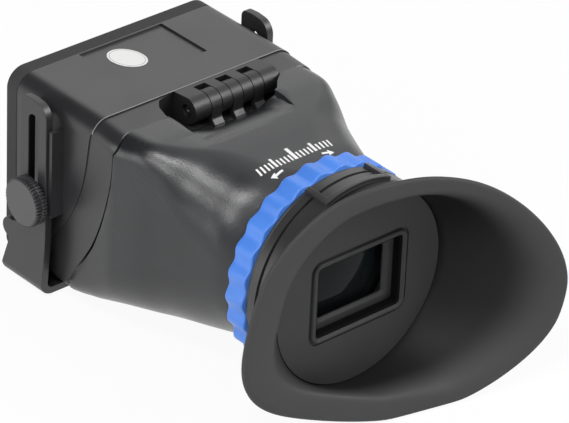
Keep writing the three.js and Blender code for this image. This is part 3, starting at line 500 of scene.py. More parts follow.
# Centre of the hinge pin, and the seam's arc round it
HINGE_Y, HINGE_Z = -44.4, 32.1
SEAM_RADIUS = 4.4
SEAM_GAP, SEAM_FOOT_GAP = 0.5, 1.5
SEAM_STEPS, SEAM_ROUND_STEPS = 40, 18
# How far the cutters reach past the body
PAST_SIDE, PAST_LOW, PAST_HIGH, PAST_FRONT, PAST_BACK = 80.0, -60.0, 80.0, 60.0, -240.0

# Height and y, from the top down
SEAM = np.array([
    (29.3, -47.9), (20.5, -47.3), (8.4, -44.7), (-6.8, -39.2), (-17.7, -32.7),
    (-24.7, -27.5), (-29.0, -25.7), (-36.0, -24.5),
])
CREASE_LINE = np.array([
    (34.0, -37.45), (28.7, -36.5), (17.2, -34.8), (9.5, -32.9), (-1.2, -28.4),
    (-6.9, -24.9), (-13.0, -19.9), (-20.0, -14.5), (-27.0, -10.0), (-36.0, -6.0),
])


def curve_down(table, steps):
    """Smooth line through height and depth rows, from the top down."""
    heights = -table[:, 0]
    return [
        (run_through(heights, table[:, 1], h), -h)
        for h in np.linspace(heights[0], heights[-1], steps)
    ]


def behind_seam(name, clearance=0.0, foot=0.0):
    """Everything behind the seam, moved back by a clearance that changes evenly to the foot's."""
    radius = SEAM_RADIUS + clearance
    above = math.pi / 2
    end = math.pi + math.asin((HINGE_Z - SEAM[0][0]) / radius)
    points = []
    for i in range(SEAM_ROUND_STEPS + 1):
        angle = above + (end - above) * i / SEAM_ROUND_STEPS
        points.append((HINGE_Y + radius * math.cos(angle), HINGE_Z + radius * math.sin(angle)))
    for y, z in curve_down(SEAM, SEAM_STEPS)[1:]:
        share = (HINGE_Z - z) / (HINGE_Z + BOX_BOTTOM)
        points.append((y - clearance - (foot - clearance) * share, z))
    points += [(PAST_BACK, PAST_LOW), (PAST_BACK, PAST_HIGH), (HINGE_Y, PAST_HIGH)]
    return prism(name, points, "x", -PAST_SIDE, PAST_SIDE)


def ahead_of_crease(name):
    points = curve_down(CREASE_LINE, SEAM_STEPS)
    points += [(PAST_FRONT, PAST_LOW), (PAST_FRONT, PAST_HIGH), (-CREASE, PAST_HIGH)]
    return prism(name, points, "x", -PAST_SIDE, PAST_SIDE)


# Knuckles from left to right; every second one belongs to the leaf
KNUCKLE_RADIUS = 4.6
HINGE_LEFT = -8.4
SPANS = []
edge = HINGE_LEFT
for width in (6.5, 4.2, 4.1, 4.2, 4.1, 4.2, 6.5):
    SPANS.append((edge, edge + width))
    edge += width + GAP
HINGE_RIGHT = SPANS[-1][1]
LEAF_SPANS = SPANS[1::2]

# Floor height, front and wall of the recess, and the x past which it ends further forward
FLOOR = 26.3
RECESS_FRONT = 37.4
RECESS_WALL = 1.9
NOTCH_X = 18.4

# Outline of the hinge recess as x and depth, left side from the front, then the right side
LEFT_EDGE = [(-8.4, RECESS_FRONT), (-15.5, 38.9), (-17.8, 41.8), (-19.0, 46.2), (-19.4, 52.5),
             (-20.1, 58.9), (-20.0, 63.7), (-19.1, 67.6), (-17.4, 69.4)]
RIGHT_EDGE = [(15.8, 68.8), (17.4, 66.4), (18.3, 60.3), (NOTCH_X, 56.0), (20.0, 55.4),
              (23.1, 51.9), (26.3, 49.3), (27.5, 48.3), (27.8, 46.5), (27.8, RECESS_FRONT)]

# Run-out behind the knuckles: its depths, the curve of its middle, and where its sides rise
BOWL_START, BOWL_END = 49.9, 69.6
BOWL_CURVE = 1.6
LEFT_RISE, RIGHT_RISE, NOTCH_RISE = (7.0, 19.4), (12.0, 18.2), (53.0, 56.0)

# Depth, and how far the floor lies below the body's surface along each side
RIGHT_DROP = [(49.9, 9.4), (52, 7.4), (54, 4.2), (56, 1.9), (60, 1.2), (64, 0.6), (66.5, 0.02),
              (70, 0.0)]
LEFT_DROP = [(49.9, 6.6), (53, 3.8), (57, 2.3), (60, 1.9), (64, 1.4), (67.6, 0.2), (70, 0.0)]


def ease(low, high, at):
    share = min(max((at - low) / (high - low), 0.0), 1.0)
    return share * share * (3 - 2 * share)


def bowl_floor(x, depth):
    """Height of the recess floor: flat below the knuckles, a hollow run-out behind them."""
    if depth <= BOWL_START:
        return FLOOR
    away = min((depth - BOWL_START) / (BOWL_END - BOWL_START), 1.0)
    top = top_height(x, depth)
    drop = (top - FLOOR) * (1 - away) ** BOWL_CURVE
    table = RIGHT_DROP if x > 0 else LEFT_DROP
    wall = np.interp(depth, *np.array(table).T)
    if x > NOTCH_X:
        share = ease(*NOTCH_RISE, depth)
    elif x > 0:
        share = ease(*RIGHT_RISE, x)
    else:
        share = ease(*LEFT_RISE, -x)
    return top - (drop * (1 - share) + min(drop, wall) * share)


def recess(name, grow=0.0):
    """Cutter of the hinge recess, or the grown block that carries its walls."""
    outline = [(x - grow, -d) for x, d in LEFT_EDGE]
    outline[0] = (outline[0][0], outline[0][1] + grow)
    outline += [(x + grow, -d - (grow if x > NOTCH_X else 0.0)) for x, d in RIGHT_EDGE]
    outline[-1] = (outline[-1][0], outline[-1][1] + 2 * grow)
    xs = np.linspace(-23.5, 31.5, 56)
    depths = [RECESS_FRONT - grow, 44.0, 48.0, *np.linspace(BOWL_START, 71.0, 30)]
    above = 60.0
    rings = []
    for depth in depths:
        low = [(x, -depth, bowl_floor(x, depth) - grow) for x in xs]
        rings.append(low + [(xs[-1], -depth, above), (xs[0], -depth, above)])
    tool = loft(name, rings)
    return combine(tool, "INTERSECT", prism("recess_outline", outline, "z", 15.0, above - 1))


def body_loft(name, depths, inset=0.0, reach=0.0, funnel=False):
    rings = [body_ring(d, inset, funnel=funnel) for d in depths]
    if reach:
        rings.insert(0, body_ring(depths[0], inset, -depths[0] + reach, funnel))
        rings.append(body_ring(depths[-1], inset, -depths[-1] - reach, funnel))
    return loft(name, rings)


BOX_DEPTHS = [0.02, 6, 12, 18, 24, 28, 32, 35, 37.0, 37.44, 37.46, 37.9, 39, 41, 43, 45, 47, 49, 52]
FUNNEL_DEPTHS = [20, 24, 28, 32, 35, 37.44, *np.arange(39, 96, 1.5), 96.1, FUNNEL_END]
HOLLOW_END = 91
# How far the back of the box lies inside its front
BAND_STEP = 0.4

# Line of the thumb screws and slots, the screws' bore, the guide ribs, the panel on top
SCREW_Y = -15.5
SCREW_BORE = 2.3
RIB_X, RIB_Y, RIB_Z = (41.0, 46.8), (-24.0, -22.4), (-3.8, 27.6)
PANEL_X, PANEL_Y, PANEL_DEPTH = (-17.4, 17.4), (-23.8, -0.7), 0.7
RIM_BAND = 6.0


def across(side, near, far):
    """Two places across on the left side or the right, in rising order."""
    return sorted((side * near, side * far))


def walled_hollow(depths, whole, wall, reach, funnel=False):
    """Room inside the body, less the walls round the hinge recess."""
    hollow = body_loft("hollow", depths, wall, reach, funnel)
    floor_block = combine(recess("floor_block", RECESS_WALL), "INTERSECT",
                          body_loft("limit", whole, BAND_STEP, funnel=funnel))
    return cut(hollow, floor_block)


def build_housing():
    ahead = combine(body_loft("front_box", BOX_DEPTHS), "INTERSECT", ahead_of_crease("ahead"))
    soften(ahead, BAND_STEP, angle=40.0, segments=1)
    shell = join(body_loft("housing_shell", BOX_DEPTHS, BAND_STEP), ahead)
    cut(shell, walled_hollow(BOX_DEPTHS, BOX_DEPTHS, BOX_WALL, 1.0))
    bore = circle(SCREW_Y, 0, SCREW_BORE, 32)
    for side in (-1, 1):
        join(shell, block("rib", across(side, *RIB_X), RIB_Y, RIB_Z))
        cut(shell, prism("way", bore, "x", *across(side, 36, 44)))
    cut(
        shell,
        block("panel", PANEL_X, PANEL_Y, (BOX_TOP - PANEL_DEPTH, BOX_TOP + 4)),
        recess("trough"),
        behind_seam("behind"),
    )
    soften(shell, 0.22)
    dress(smooth(shell, flat=True), HOUSING, "box", "housing", "front_housing")


def build_funnel():
    shell = body_loft("funnel_body", FUNNEL_DEPTHS, funnel=True)
    inner_depths = [d for d in FUNNEL_DEPTHS if d < HOLLOW_END]
    hollow = walled_hollow(inner_depths, FUNNEL_DEPTHS, FUNNEL_WALL, 0.5, True)
    cut(shell, hollow, sleeve_bore(-80, -110), recess("trough"))
    combine(shell, "INTERSECT", behind_seam("behind", SEAM_GAP, SEAM_FOOT_GAP))
    soften(shell, 0.25)
    dress(smooth(shell), FUNNEL, "funnel", "funnel", "funnel_shell")


def build_gasket():
    outer = rounded(-BOX_HALF, BOX_HALF, -BOX_BOTTOM, BOX_TOP, BOX_ROUND, 16)
    inner = rounded(
        RIM_BAND - BOX_HALF, BOX_HALF - RIM_BAND, RIM_BAND - BOX_BOTTOM, BOX_TOP - RIM_BAND, 2,
    )
    ring = prism("rubber_rim", outer, "y", GASKET_DEPTH, GAP)
    cut(ring, prism("opening", inner, "y", 8, -2))
    soften(ring, 0.45, segments=3)
    dress(smooth(ring, flat=True), GASKET, "box", "rubber", "screen_gasket")


# Hinge

BLOCK_FRONT, BLOCK_FLOOR, BLOCK_TOP = -37.7, 26.8, 36.1
PIN_BORE, PIN_RADIUS, PIN_RECESS = 2.1, 1.8, 0.7
SOCKET_RADIUS, SOCKET_DEPTH = 0.75, 1.2
# Side views of a strap that carries a knuckle of the leaf, and of the painted highlight on its
# foot's end
STRAP = [(-49.0, 31.5), (-48.85, 29.2), (-49.1, 28.2), (-50.3, 26.9), (-50.3, 26.1),
         (-48.3, 26.1), (-47.3, 27.6), (-47.2, 31.5)]
HIGHLIGHT_END = [(-49.1, 28.4), (-50.45, 26.98), (-50.45, 26.5), (-50.1, 26.5), (-49.0, 28.0)]
HIGHLIGHT_MARGIN = 0.15


def pin_bore():
    return prism("bore", circle(HINGE_Y, HINGE_Z, PIN_BORE, 40), "x", -20, 40)


def build_hinge_block():
    knuckle = circle(HINGE_Y, HINGE_Z, KNUCKLE_RADIUS, 64)
    points = [(BLOCK_FRONT, BLOCK_FLOOR), (BLOCK_FRONT, BLOCK_TOP)]
    points += [tuple(p) for p in knuckle[16:49]]
    points.append((HINGE_Y, BLOCK_FLOOR))
    piece = prism("hinge_block_piece", points, "x", HINGE_LEFT, HINGE_RIGHT)
    for start, end in LEAF_SPANS:
        cut(piece, block("window", (start - GAP, end + GAP), (-52, -39.5), (25, 45)))
    cut(piece, pin_bore())
    soften(piece, 0.35, segments=3)
    dress(smooth(piece, flat=True), HINGE, "box", "housing", "hinge_block")


def build_hinge_leaf():
    knuckles = []
    for start, end in LEAF_SPANS:
        knuckle = prism("knuckle", circle(HINGE_Y, HINGE_Z, KNUCKLE_RADIUS, 64), "x", start, end)
        join(knuckle, prism("strap", STRAP, "x", start, end))
        cut(knuckle, pin_bore())
        knuckles.append(soften(knuckle, 0.3))
    plate = block("plate", (LEAF_SPANS[0][0], LEAF_SPANS[-1][1]), (-49.3, -48.2), (26.2, 26.6))
    piece = join(*knuckles, plate)
    piece.name = "hinge_leaf_piece"
    dress(smooth(piece, flat=True), HINGE, "funnel", "gloss", "hinge_leaf")


def build_foot_highlights():
    """Painted highlight on the ends of the leaf's feet."""
    for number, (start, end) in enumerate(LEAF_SPANS, 1):
        tip = prism(f"foot_highlight_{number}", HIGHLIGHT_END, "x", start + HIGHLIGHT_MARGIN, end - HIGHLIGHT_MARGIN)
        dress(smooth(tip), FOOT_HIGHLIGHT, "funnel", "gloss")


def build_hinge_pin():
    start, end = HINGE_LEFT + PIN_RECESS, HINGE_RIGHT - PIN_RECESS
    piece = prism("hinge_pin_piece", circle(HINGE_Y, HINGE_Z, PIN_RADIUS, 40), "x", start, end)
    socket = circle(HINGE_Y, HINGE_Z, SOCKET_RADIUS, 6)
    cut(piece, prism("socket", socket, "x", HINGE_LEFT, start + SOCKET_DEPTH))
    soften(piece, 0.3, segments=3)
    dress(smooth(piece), DARK_STEEL, "box", "steel", "hinge_pin")


# Label and scale

LABEL_X, LABEL_Y, LABEL_Z = -5.65, -11.1, BOX_TOP - 0.68
LABEL_LONG, LABEL_SHORT, LABEL_TURN = 7.1, 5.3, -1.22
BORDER_OUTER, BORDER_INNER = 0.9, 0.9 * 0.965


def oval(scale):
    """Outline of the turned oval at a share of its size."""
    angle = np.arange(72) / 72 * math.tau
    u, v = LABEL_LONG * scale * np.cos(angle), LABEL_SHORT * scale * np.sin(angle)
    return np.column_stack((
        LABEL_X + u * math.cos(LABEL_TURN) - v * math.sin(LABEL_TURN),
        LABEL_Y + u * math.sin(LABEL_TURN) + v * math.cos(LABEL_TURN),
    ))


def build_label():
    sheet = prism("label_oval", oval(1.0), "z", LABEL_Z, LABEL_Z + 0.16)
    dress(smooth(sheet), PAPER, "box", "label", "label_blank")
    border = prism("label_border", oval(BORDER_OUTER), "z", LABEL_Z + 0.1, LABEL_Z + 0.19)
    cut(border, prism("inner", oval(BORDER_INNER), "z", LABEL_Z - 1, LABEL_Z + 2))
    dress(smooth(border), RING_INK, "box", "label")


def mark(name, outlines, material=INK, body="funnel", slot="label"):
    """Thin shapes laid on the body's upper surface, ink or painted highlight; outlines are x and
    depth strips.
    """
    verts, faces = [], []
    for strip in outlines:
        base = len(verts)
        for lift in (-0.05, 0.06):
            for row in strip:
                for x, depth in row:
                    verts.append((x, -depth, top_height(x, depth) + lift))
        rows, cols = len(strip), len(strip[0])
        layer = rows * cols

        def at(level, i, j):
            return base + level * layer + i * cols + j

        for i in range(rows - 1):
            for j in range(cols - 1):
                for level in (0, 1):
                    faces.append((at(level, i, j), at(level, i + 1, j),
                                  at(level, i + 1, j + 1), at(level, i, j + 1)))
        rim = [(i, 0) for i in range(rows)] + [(rows - 1, j) for j in range(1, cols)]
        rim += [(i, cols - 1) for i in range(rows - 2, -1, -1)]
        rim += [(0, j) for j in range(cols - 2, 0, -1)]
        for (i, j), (k, m) in zip(rim, rim[1:] + rim[:1]):
            faces.append((at(0, i, j), at(0, k, m), at(1, k, m), at(1, i, j)))
    piece = make(name, verts, faces)
    return dress(smooth(piece), material, body, slot)


def strip_between(start, end, width, tip=None, steps=6):
    """Rows of points along a line, as wide as asked at the start and at the tip."""
    start, end = np.array(start, float), np.array(end, float)
    way = (end - start) / np.linalg.norm(end - start)
    side = np.array((-way[1], way[0]))
    rows = []
    for i in range(steps + 1):
        share = i / steps
        half = (width * (1 - share) + (width if tip is None else tip) * share) / 2
        middle = start + (end - start) * share
        rows.append([tuple(middle - side * half), tuple(middle + side * half)])
    return rows


def build_crease_highlight():
    """Painted highlight along the edge where the front of the box steps down to the back."""
    corner = np.linspace(35.4, 41.6, 14)
    places = [*-corner[::-1], *np.linspace(-35.0, 35.0, 57), *corner]
    strip = [[(x, CREASE - 0.12), (x, CREASE + 0.3)] for x in places]
    mark("crease_edge", [strip], CREASE_HIGHLIGHT, "box", "housing")


TICK_BACK, TICK_STEP, TICK_MIDDLE = 88.9, 1.625, -0.75
TICKS_EACH_SIDE = 9
# Length and width of the middle tick, of the fifth ones and of the others
MAIN_TICKS = {0: (5.9, 1.25), 5: (4.3, 0.95)}
PLAIN_TICK = (2.9, 0.66)
# Tail, neck and tip of each arrow as x and depth
ARROWS = [
    ((-8.6, 90.9), (-11.7, 91.45), (-13.7, 91.2)), ((7.8, 90.8), (10.2, 91.2), (12.2, 91.6)),
]


def build_scale():
    ticks = []
    for i in range(-TICKS_EACH_SIDE, TICKS_EACH_SIDE + 1):
        x = i * TICK_STEP + TICK_MIDDLE
        length, width = MAIN_TICKS.get(abs(i), PLAIN_TICK)
        ticks.append(strip_between((x + 0.1, TICK_BACK - length), (x - 0.05, TICK_BACK), width))
    mark("focus_scale", ticks)
    arrows = []
    for tail, neck, tip in ARROWS:
        arrows.append(strip_between(tail, neck, 0.75))
        arrows.append(strip_between(neck, tip, 2.2, 0.1))
    mark("turn_arrows", arrows)


# Focus ring, barrel, collar

SLEEVE_BORE = 27.2
LOBES, LOBE_STEPS, LOBE_TURN = 26, 14, math.radians(97.8)
RING_RADIUS, LOBE_HEIGHT = 35.0, 1.25
WELL_RADIUS, WELL_FRONT = 32.65, 99.2
# Depth and inset along the ring's rounded section
RING_PROFILE = [(96.8, 0.55), (96.95, 0.22), (97.2, 0.06), (97.7, 0.0), (104.1, 0.0),
                (104.6, 0.06), (104.85, 0.22), (105.0, 0.5)]
# Radius and depth
BARREL_PROFILE = [
    (21.0, 92.0), (22.8, 92.0), (22.8, 105.3), (34.6, 105.3), (34.8, 105.5), (34.8, 106.1),
    (34.6, 106.3), (33.2, 106.3), (33.2, 117.3), (30.0, 117.3), (30.0, 114.0), (18.9, 114.0),
    (18.9, 110.5), (21.0, 110.5),
]
COLLAR_PROFILE = [
    (33.5, 106.6), (35.1, 106.6), (35.5, 106.95), (35.5, 109.8), (34.5, 109.95),
    (34.5, 110.8), (35.5, 110.95), (35.5, 117.3), (33.5, 117.3),
]
CATCH_FROM, CATCH_TO, CATCH_LEG, CATCH_STEPS = 1.2, 1.955, 0.062, 40


def sleeve_bore(front, back):
    return prism("bore", circle(0, 0, SLEEVE_BORE, 96), "y", front, back)


def build_focus_ring():
    steps = LOBES * LOBE_STEPS
    angle = np.arange(steps) / steps * math.tau
    swell = 0.5 + 0.5 * np.cos((angle - LOBE_TURN) * LOBES)
    rings = []
    for depth, inset in RING_PROFILE:
        radius = RING_RADIUS + LOBE_HEIGHT * swell - inset
        rings.append(np.column_stack((
            radius * np.cos(angle), np.full(steps, -depth), radius * np.sin(angle),
        )))
    ring = loft("scalloped_ring", rings)
    well = prism("well", circle(0, 0, WELL_RADIUS, 96), "y", -WELL_FRONT, -115)
    cut(ring, sleeve_bore(-90, -115), well)
    dress(smooth(ring, 50), BLUE, "focus", "blue", "focus_ring")


def build_barrel():
    barrel = revolve("barrel_body", BARREL_PROFILE)
    soften(barrel, 0.12)
    dress(smooth(barrel), GLOSS, "barrel", "gloss", "lens_barrel")


def sector(name, inner, outer, front, back, start, end):
    angles = [start + (end - start) * i / CATCH_STEPS for i in range(CATCH_STEPS + 1)]
    outline = [(outer * math.cos(a), outer * math.sin(a)) for a in angles]
    outline += [(inner * math.cos(a), inner * math.sin(a)) for a in reversed(angles)]
    return prism(name, outline, "y", -front, -back)


def build_collar():
    collar = revolve("collar_body", COLLAR_PROFILE, 192)
    catch = sector("catch", 34.2, 36.7, 106.6, 117.0, CATCH_FROM, CATCH_TO)
    cut(catch, sector("slot", 33.0, 38.0, 105.0, 114.9, CATCH_FROM + CATCH_LEG,
                      CATCH_TO - CATCH_LEG))
    soften(catch, 0.3)
    join(collar, catch)
    dress(smooth(collar), GLOSS, "cup", "gloss", "eyecup_collar")


# Eyepiece window

FRAME_HALF_WIDTH, FRAME_HALF_HEIGHT, FRAME_ROUND = 19.6, 14.7, 3.4
PLATE_RADIUS, PLATE_FRONT, PLATE_BACK = 34.0, 117.6, 119.0
GROOVE_WIDTH, GROOVE_FLOOR = 0.75, 118.5
# Inset from the frame's outline, and depth
RIDGE = [(0.0, 116.4), (0.0, 119.0), (0.15, 119.5), (0.55, 119.8), (1.1, 119.8), (1.5, 119.45),
         (1.6, 119.3)]
OPENING = [(2.4, 114.0), (2.4, 118.6), (1.9, 119.2), (1.6, 119.9), (1.6, 121.0)]
# Black sheet of painted shade over the window's side walls, outer and inner face
SHADE_OUTER = [(2.35, 115.9), (2.35, 118.6), (1.85, 119.2)]
SHADE_INNER = [(2.6, 114.0), (2.6, 118.65), (2.0, 119.3)]
# Half width, half height, corner radius and depth of the mask's opening
VIEW = [(13.4, 8.9, 1.0, 113.0), (13.4, 8.9, 1.0, 114.9), (14.4, 9.9, 1.6, 115.9),
        (14.4, 9.9, 1.6, 117.0)]
MASK_RADIUS, MASK_FRONT, MASK_BACK = 29.7, 114.3, 115.8


def frame_outline(inset):
    half_w, half_h = FRAME_HALF_WIDTH - inset, FRAME_HALF_HEIGHT - inset
    return rounded(-half_w, half_w, -half_h, half_h, max(FRAME_ROUND - inset, 1.0))


def framed(name, rows):
    return loft(name, [along("y", frame_outline(inset), -depth) for inset, depth in rows])


def build_face_plate():
    plate = prism("window_plate", circle(0, 0, PLATE_RADIUS, 128), "y", -PLATE_FRONT, -PLATE_BACK)
    ridge = framed("ridge", RIDGE)
    cut(plate, prism("groove", frame_outline(-GROOVE_WIDTH), "y", -GROOVE_FLOOR, -125))
    join(plate, ridge)
    cut(plate, framed("opening", OPENING))
    soften(plate, 0.18)
    dress(smooth(plate, flat=True), PLATE, "barrel", "housing", "face_plate")


def build_window_shade():
    """Black sheet over the window's side walls: painted shade."""
    shade_sheet = cut(framed("window_shade", SHADE_OUTER), framed("through", SHADE_INNER))
    dress(smooth(shade_sheet), INNER, "barrel", "inner")


def build_window_mask():
    mask = prism("aperture_plate", circle(0, 0, MASK_RADIUS, 96), "y", -MASK_FRONT, -MASK_BACK)
    cut(mask, loft("view", [
        along("y", rounded(-half_w, half_w, -half_h, half_h, radius), -depth)
        for half_w, half_h, radius, depth in VIEW
    ]))
    soften(mask, 0.12)
    dress(smooth(mask, flat=True), PLATE, "barrel", "inner", "window_mask")


LENS_RADIUS, LENS_FLANGE, LENS_STEPS = 18.7, 20.7, 12


def build_lens(name, node, depth, edge, bulge):
    """Lens with both faces bulging from a flat flange."""
    shares = [i / LENS_STEPS for i in range(LENS_STEPS + 1)]
    profile = [(LENS_RADIUS * s, depth - bulge * (1 - s * s)) for s in shares]
    profile += [(LENS_FLANGE, depth), (LENS_FLANGE, depth + edge)]
    profile += [(LENS_RADIUS * s, depth + edge + bulge * (1 - s * s)) for s in reversed(shares)]
    dress(smooth(revolve(name, profile, 96), 60), GLASS, "barrel", "glass", node)


# Eyecup

# Angle in degrees and rim radius, from the photo's outline
RIM = np.array([
    (-180, 47.7), (-170, 48.9), (-160, 50.9), (-150, 51.8), (-140, 50.3), (-130, 46.9),
    (-120, 43.9), (-110, 41.9), (-100, 41.1), (-90, 41.2), (-80, 42.1), (-70, 43.7), (-60, 46.1),
    (-50, 49.3), (-40, 52.9), (-30, 57.0), (-20, 61.3), (-10, 64.7), (0, 64.8), (10, 62.3),
    (20, 58.3), (30, 54.4), (40, 51.3), (50, 48.8), (60, 46.9), (70, 45.4), (80, 44.3),
    (90, 43.6), (100, 43.3), (110, 43.7), (120, 44.6), (130, 45.3), (140, 45.7), (150, 46.3),
    (160, 46.9), (170, 47.2),
])
CUP_TWIST = -0.166
CUP_SLOPE = 0.23
RIM_DEPTH = 132.8
# Farthest reach of the tip and of the lowest point, inside the solids' box
TIP_LIMIT, LOW_LIMIT = 64.8, 42.28
LIMIT_SHARPNESS = 4.0
WAVES, DAMPING, DAMPING_POWER = 12, 0.012, 1.5
CUP_STEPS = 192
BASE_RADIUS, BASE_DEPTH = 34.3, 117.6
SKIRT_STEPS, SKIRT_SAG, SKIRT_LIFT = 9, 0.07, 0.4
LIP_WIDTH, LIP_SWING, LIP_TURN = 8.2, 2.0, math.radians(145)
ROUND_STEPS, WALL_STEPS = 10, 7
# Painted shade deep in the cup's hollow, and the rim's own tone
CUP_PAINTED_SHADE, CUP_PALE = (0.008, 0.008, 0.0085), (0.057, 0.057, 0.059)


def rim_radii():
    """Rim radius round the cup: the measured points as a damped wave sum, softly limited."""
    angle = np.radians(RIM[:, 0])
    columns = [np.ones(len(angle))]
    damping = [0.0]
    for k in range(1, WAVES + 1):
        columns += [np.cos(k * angle), np.sin(k * angle)]
        damping += [DAMPING * k**DAMPING_POWER] * 2
    fit = np.linalg.lstsq(
        np.vstack((np.column_stack(columns), np.diag(damping))),
        np.concatenate((RIM[:, 1], np.zeros(len(damping)))),
        rcond=None,
    )[0]
    at = np.arange(CUP_STEPS) / CUP_STEPS * math.tau - math.pi
    radii = np.full(CUP_STEPS, fit[0])
    for k in range(1, WAVES + 1):
        radii += fit[2 * k - 1] * np.cos(k * at) + fit[2 * k] * np.sin(k * at)
    low = LOW_LIMIT / np.maximum(-np.sin(at + CUP_TWIST), 0.1)
    limit = np.minimum(low, TIP_LIMIT)
    return at, -np.logaddexp(-LIMIT_SHARPNESS * radii, -LIMIT_SHARPNESS * limit) / LIMIT_SHARPNESS


def cup_skirt(reach, rim):
    """Radius and depth up the outside, from the foot at the collar to the lip."""
    points = [
        (BASE_RADIUS, BASE_DEPTH), (BASE_RADIUS + 1.1, BASE_DEPTH),
        (BASE_RADIUS + 1.4, BASE_DEPTH + 0.3), (BASE_RADIUS + 1.6, BASE_DEPTH + 1.6),
    ]
    start = np.array(points[-1])
    span = np.array((reach - 0.55, rim - 1.2)) - start
    for i in range(1, SKIRT_STEPS):
        share = i / SKIRT_STEPS
        sag = math.sin(share * math.pi) * SKIRT_SAG
        points.append((
            start[0] + span[0] * (share - sag),
            start[1] + span[1] * (share + sag * SKIRT_LIFT),
        ))
    return points


def cup_lip(reach, rim):
    return [
        (reach - 0.25, rim - 0.75), (reach, rim - 0.1), (reach - 0.25, rim + 0.55),
        (reach - 0.9, rim + 0.95),
    ]


def cup_hollow(start, corner, angle):
    """Radius and depth over the lip's face, round its inner corner and down to the base."""
    start, corner = np.array(start), np.array(corner)
    end = np.array((BASE_RADIUS, BASE_DEPTH + 1.5))
    wide = max(math.cos(angle), 0.0) ** 2
    round_start = corner + (start - corner) * (0.55 + 0.35 * wide)
    round_end = corner + (end - corner) * (0.26 + 0.22 * wide)
    points = [tuple(start + (round_start - start) * 0.5)]
    for i in range(ROUND_STEPS + 1):
        share = i / ROUND_STEPS
        points.append(tuple(
            (1 - share) ** 2 * round_start + 2 * share * (1 - share) * corner
            + share**2 * round_end
        ))
    for i in range(1, WALL_STEPS + 1):
        points.append(tuple(round_end + (end - round_end) * (i / WALL_STEPS)))
    return points


def build_eyecup():
    rings = []
    for angle, reach in zip(*rim_radii()):
        lean = CUP_SLOPE * math.cos(angle)
        rim = RIM_DEPTH + lean * reach
        inside = reach - LIP_WIDTH - LIP_SWING * math.cos(angle + LIP_TURN)
        lip = cup_lip(reach, rim)
        hollow = cup_hollow(lip[-1], (inside, RIM_DEPTH + lean * inside + 0.7), angle)
        turn = angle + CUP_TWIST
        rings.append([
            (radius * math.cos(turn), -depth, radius * math.sin(turn))
            for radius, depth in cup_skirt(reach, rim) + lip + hollow
        ])
    cup = loft("rubber_eyecup", rings, endless=True)
    # The cup's hollow gets painted shade
    paint_hollow_shade(RUBBER, RIM_DEPTH, CUP_SLOPE, CUP_PAINTED_SHADE, CUP_PALE)
    dress(smooth(cup, 60), RUBBER, "cup", "rubber", "eyecup")


# Bracket and thumb screws

ARM_LOW, ARM_HIGH, ARM_INNER, ARM_OUTER = -35.5, 36.2, 45.0, 47.7
ARM_FRONT, ARM_BACK = -8.8, -22.1
FRONT_ROUND, BACK_ROUND = 2.5, 5.0
BAR_THICKNESS = 2.7
# The last is how thick the slot's black sheet of painted shade is
SLOT_HALF, SLOT_LOW, SLOT_HIGH, SHADE_THICKNESS = 2.4, -2.7, 31.0, 0.2
KNOB_START, KNOB_END, KNOB_RADIUS, KNOB_FACE = 48.1, 52.5, 7.6, 7.75
TOOTH_RADIUS, TOOTH_HEIGHT, TEETH = 8.4, 0.6, 44
ROW_CHAMFER, ROW_TAPER = 0.25, 0.965


def arc(u, v, radius, start, end, steps=10):
    return [
        (u + radius * math.cos(math.radians(start + (end - start) * i / steps)),
         v + radius * math.sin(math.radians(start + (end - start) * i / steps)))
        for i in range(steps + 1)
    ]


def slot_outline(inset=0.0):
    half = SLOT_HALF - inset
    return rounded(SCREW_Y - half, SCREW_Y + half, SLOT_LOW + inset, SLOT_HIGH - inset, half - 0.01)


def build_bracket():
    side = [(0.5, ARM_LOW), (0.5, -31.3), (-3.2, -20.8)]
    side += arc(-3.5, -16.5, 3.6, -66, 112, 14)
    side += [(-7.0, -12.4), (-8.3, -11.4), (ARM_FRONT, -9.8)]
    side += arc(ARM_FRONT - FRONT_ROUND, ARM_HIGH - FRONT_ROUND, FRONT_ROUND, 0, 90, 8)
    side += [(-14.5, ARM_HIGH + 0.25)]
    side += arc(ARM_BACK + BACK_ROUND, ARM_HIGH - BACK_ROUND, BACK_ROUND, 90, 180)
    side += [(ARM_BACK, -7.8), (-21.9, -14.0), (-21.3, -22.0), (-20.6, -29.0), (-20.0, ARM_LOW)]
    outer = rounded(-ARM_OUTER, ARM_OUTER, ARM_LOW, 60, 5.0, 12)
    inner = rounded(-ARM_INNER, ARM_INNER, ARM_LOW + BAR_THICKNESS, 70, 2.3, 8)
    piece = prism("u_bracket", outer, "y", 2, -26)
    cut(piece, prism("inner", inner, "y", 4, -30))
    combine(piece, "INTERSECT", prism("side_view", side, "x", -60, 60))
    cut(piece, prism("slot", slot_outline(), "x", -60, 60))
    soften(piece, 0.5)
    dress(smooth(piece, flat=True), BRACKET, "bracket", "gloss", "bracket")


def build_slot_shade(side):
    """Black sheet over the walls of the arm's slot: painted shade."""
    low, high = across(side, 45.1, 47.35)
    name = "left" if side < 0 else "right"
    shade_sheet = prism(f"slot_shade_{name}", slot_outline(), "x", low, high)
    cut(shade_sheet, prism("through", slot_outline(SHADE_THICKNESS), "x", low - 1, high + 1))
    dress(smooth(shade_sheet), INNER, "bracket", "inner")


def gear():
    steps = TEETH * 4
    points = []
    for i in range(steps):
        angle = i / steps * math.tau
        radius = TOOTH_RADIUS - (TOOTH_HEIGHT if i % 4 in (2, 3) else 0.0)
        points.append((SCREW_Y + radius * math.cos(angle), radius * math.sin(angle)))
    return points


def shrunk(outline, share):
    centre = np.array((SCREW_Y, 0.0))
    return centre + (np.array(outline) - centre) * share


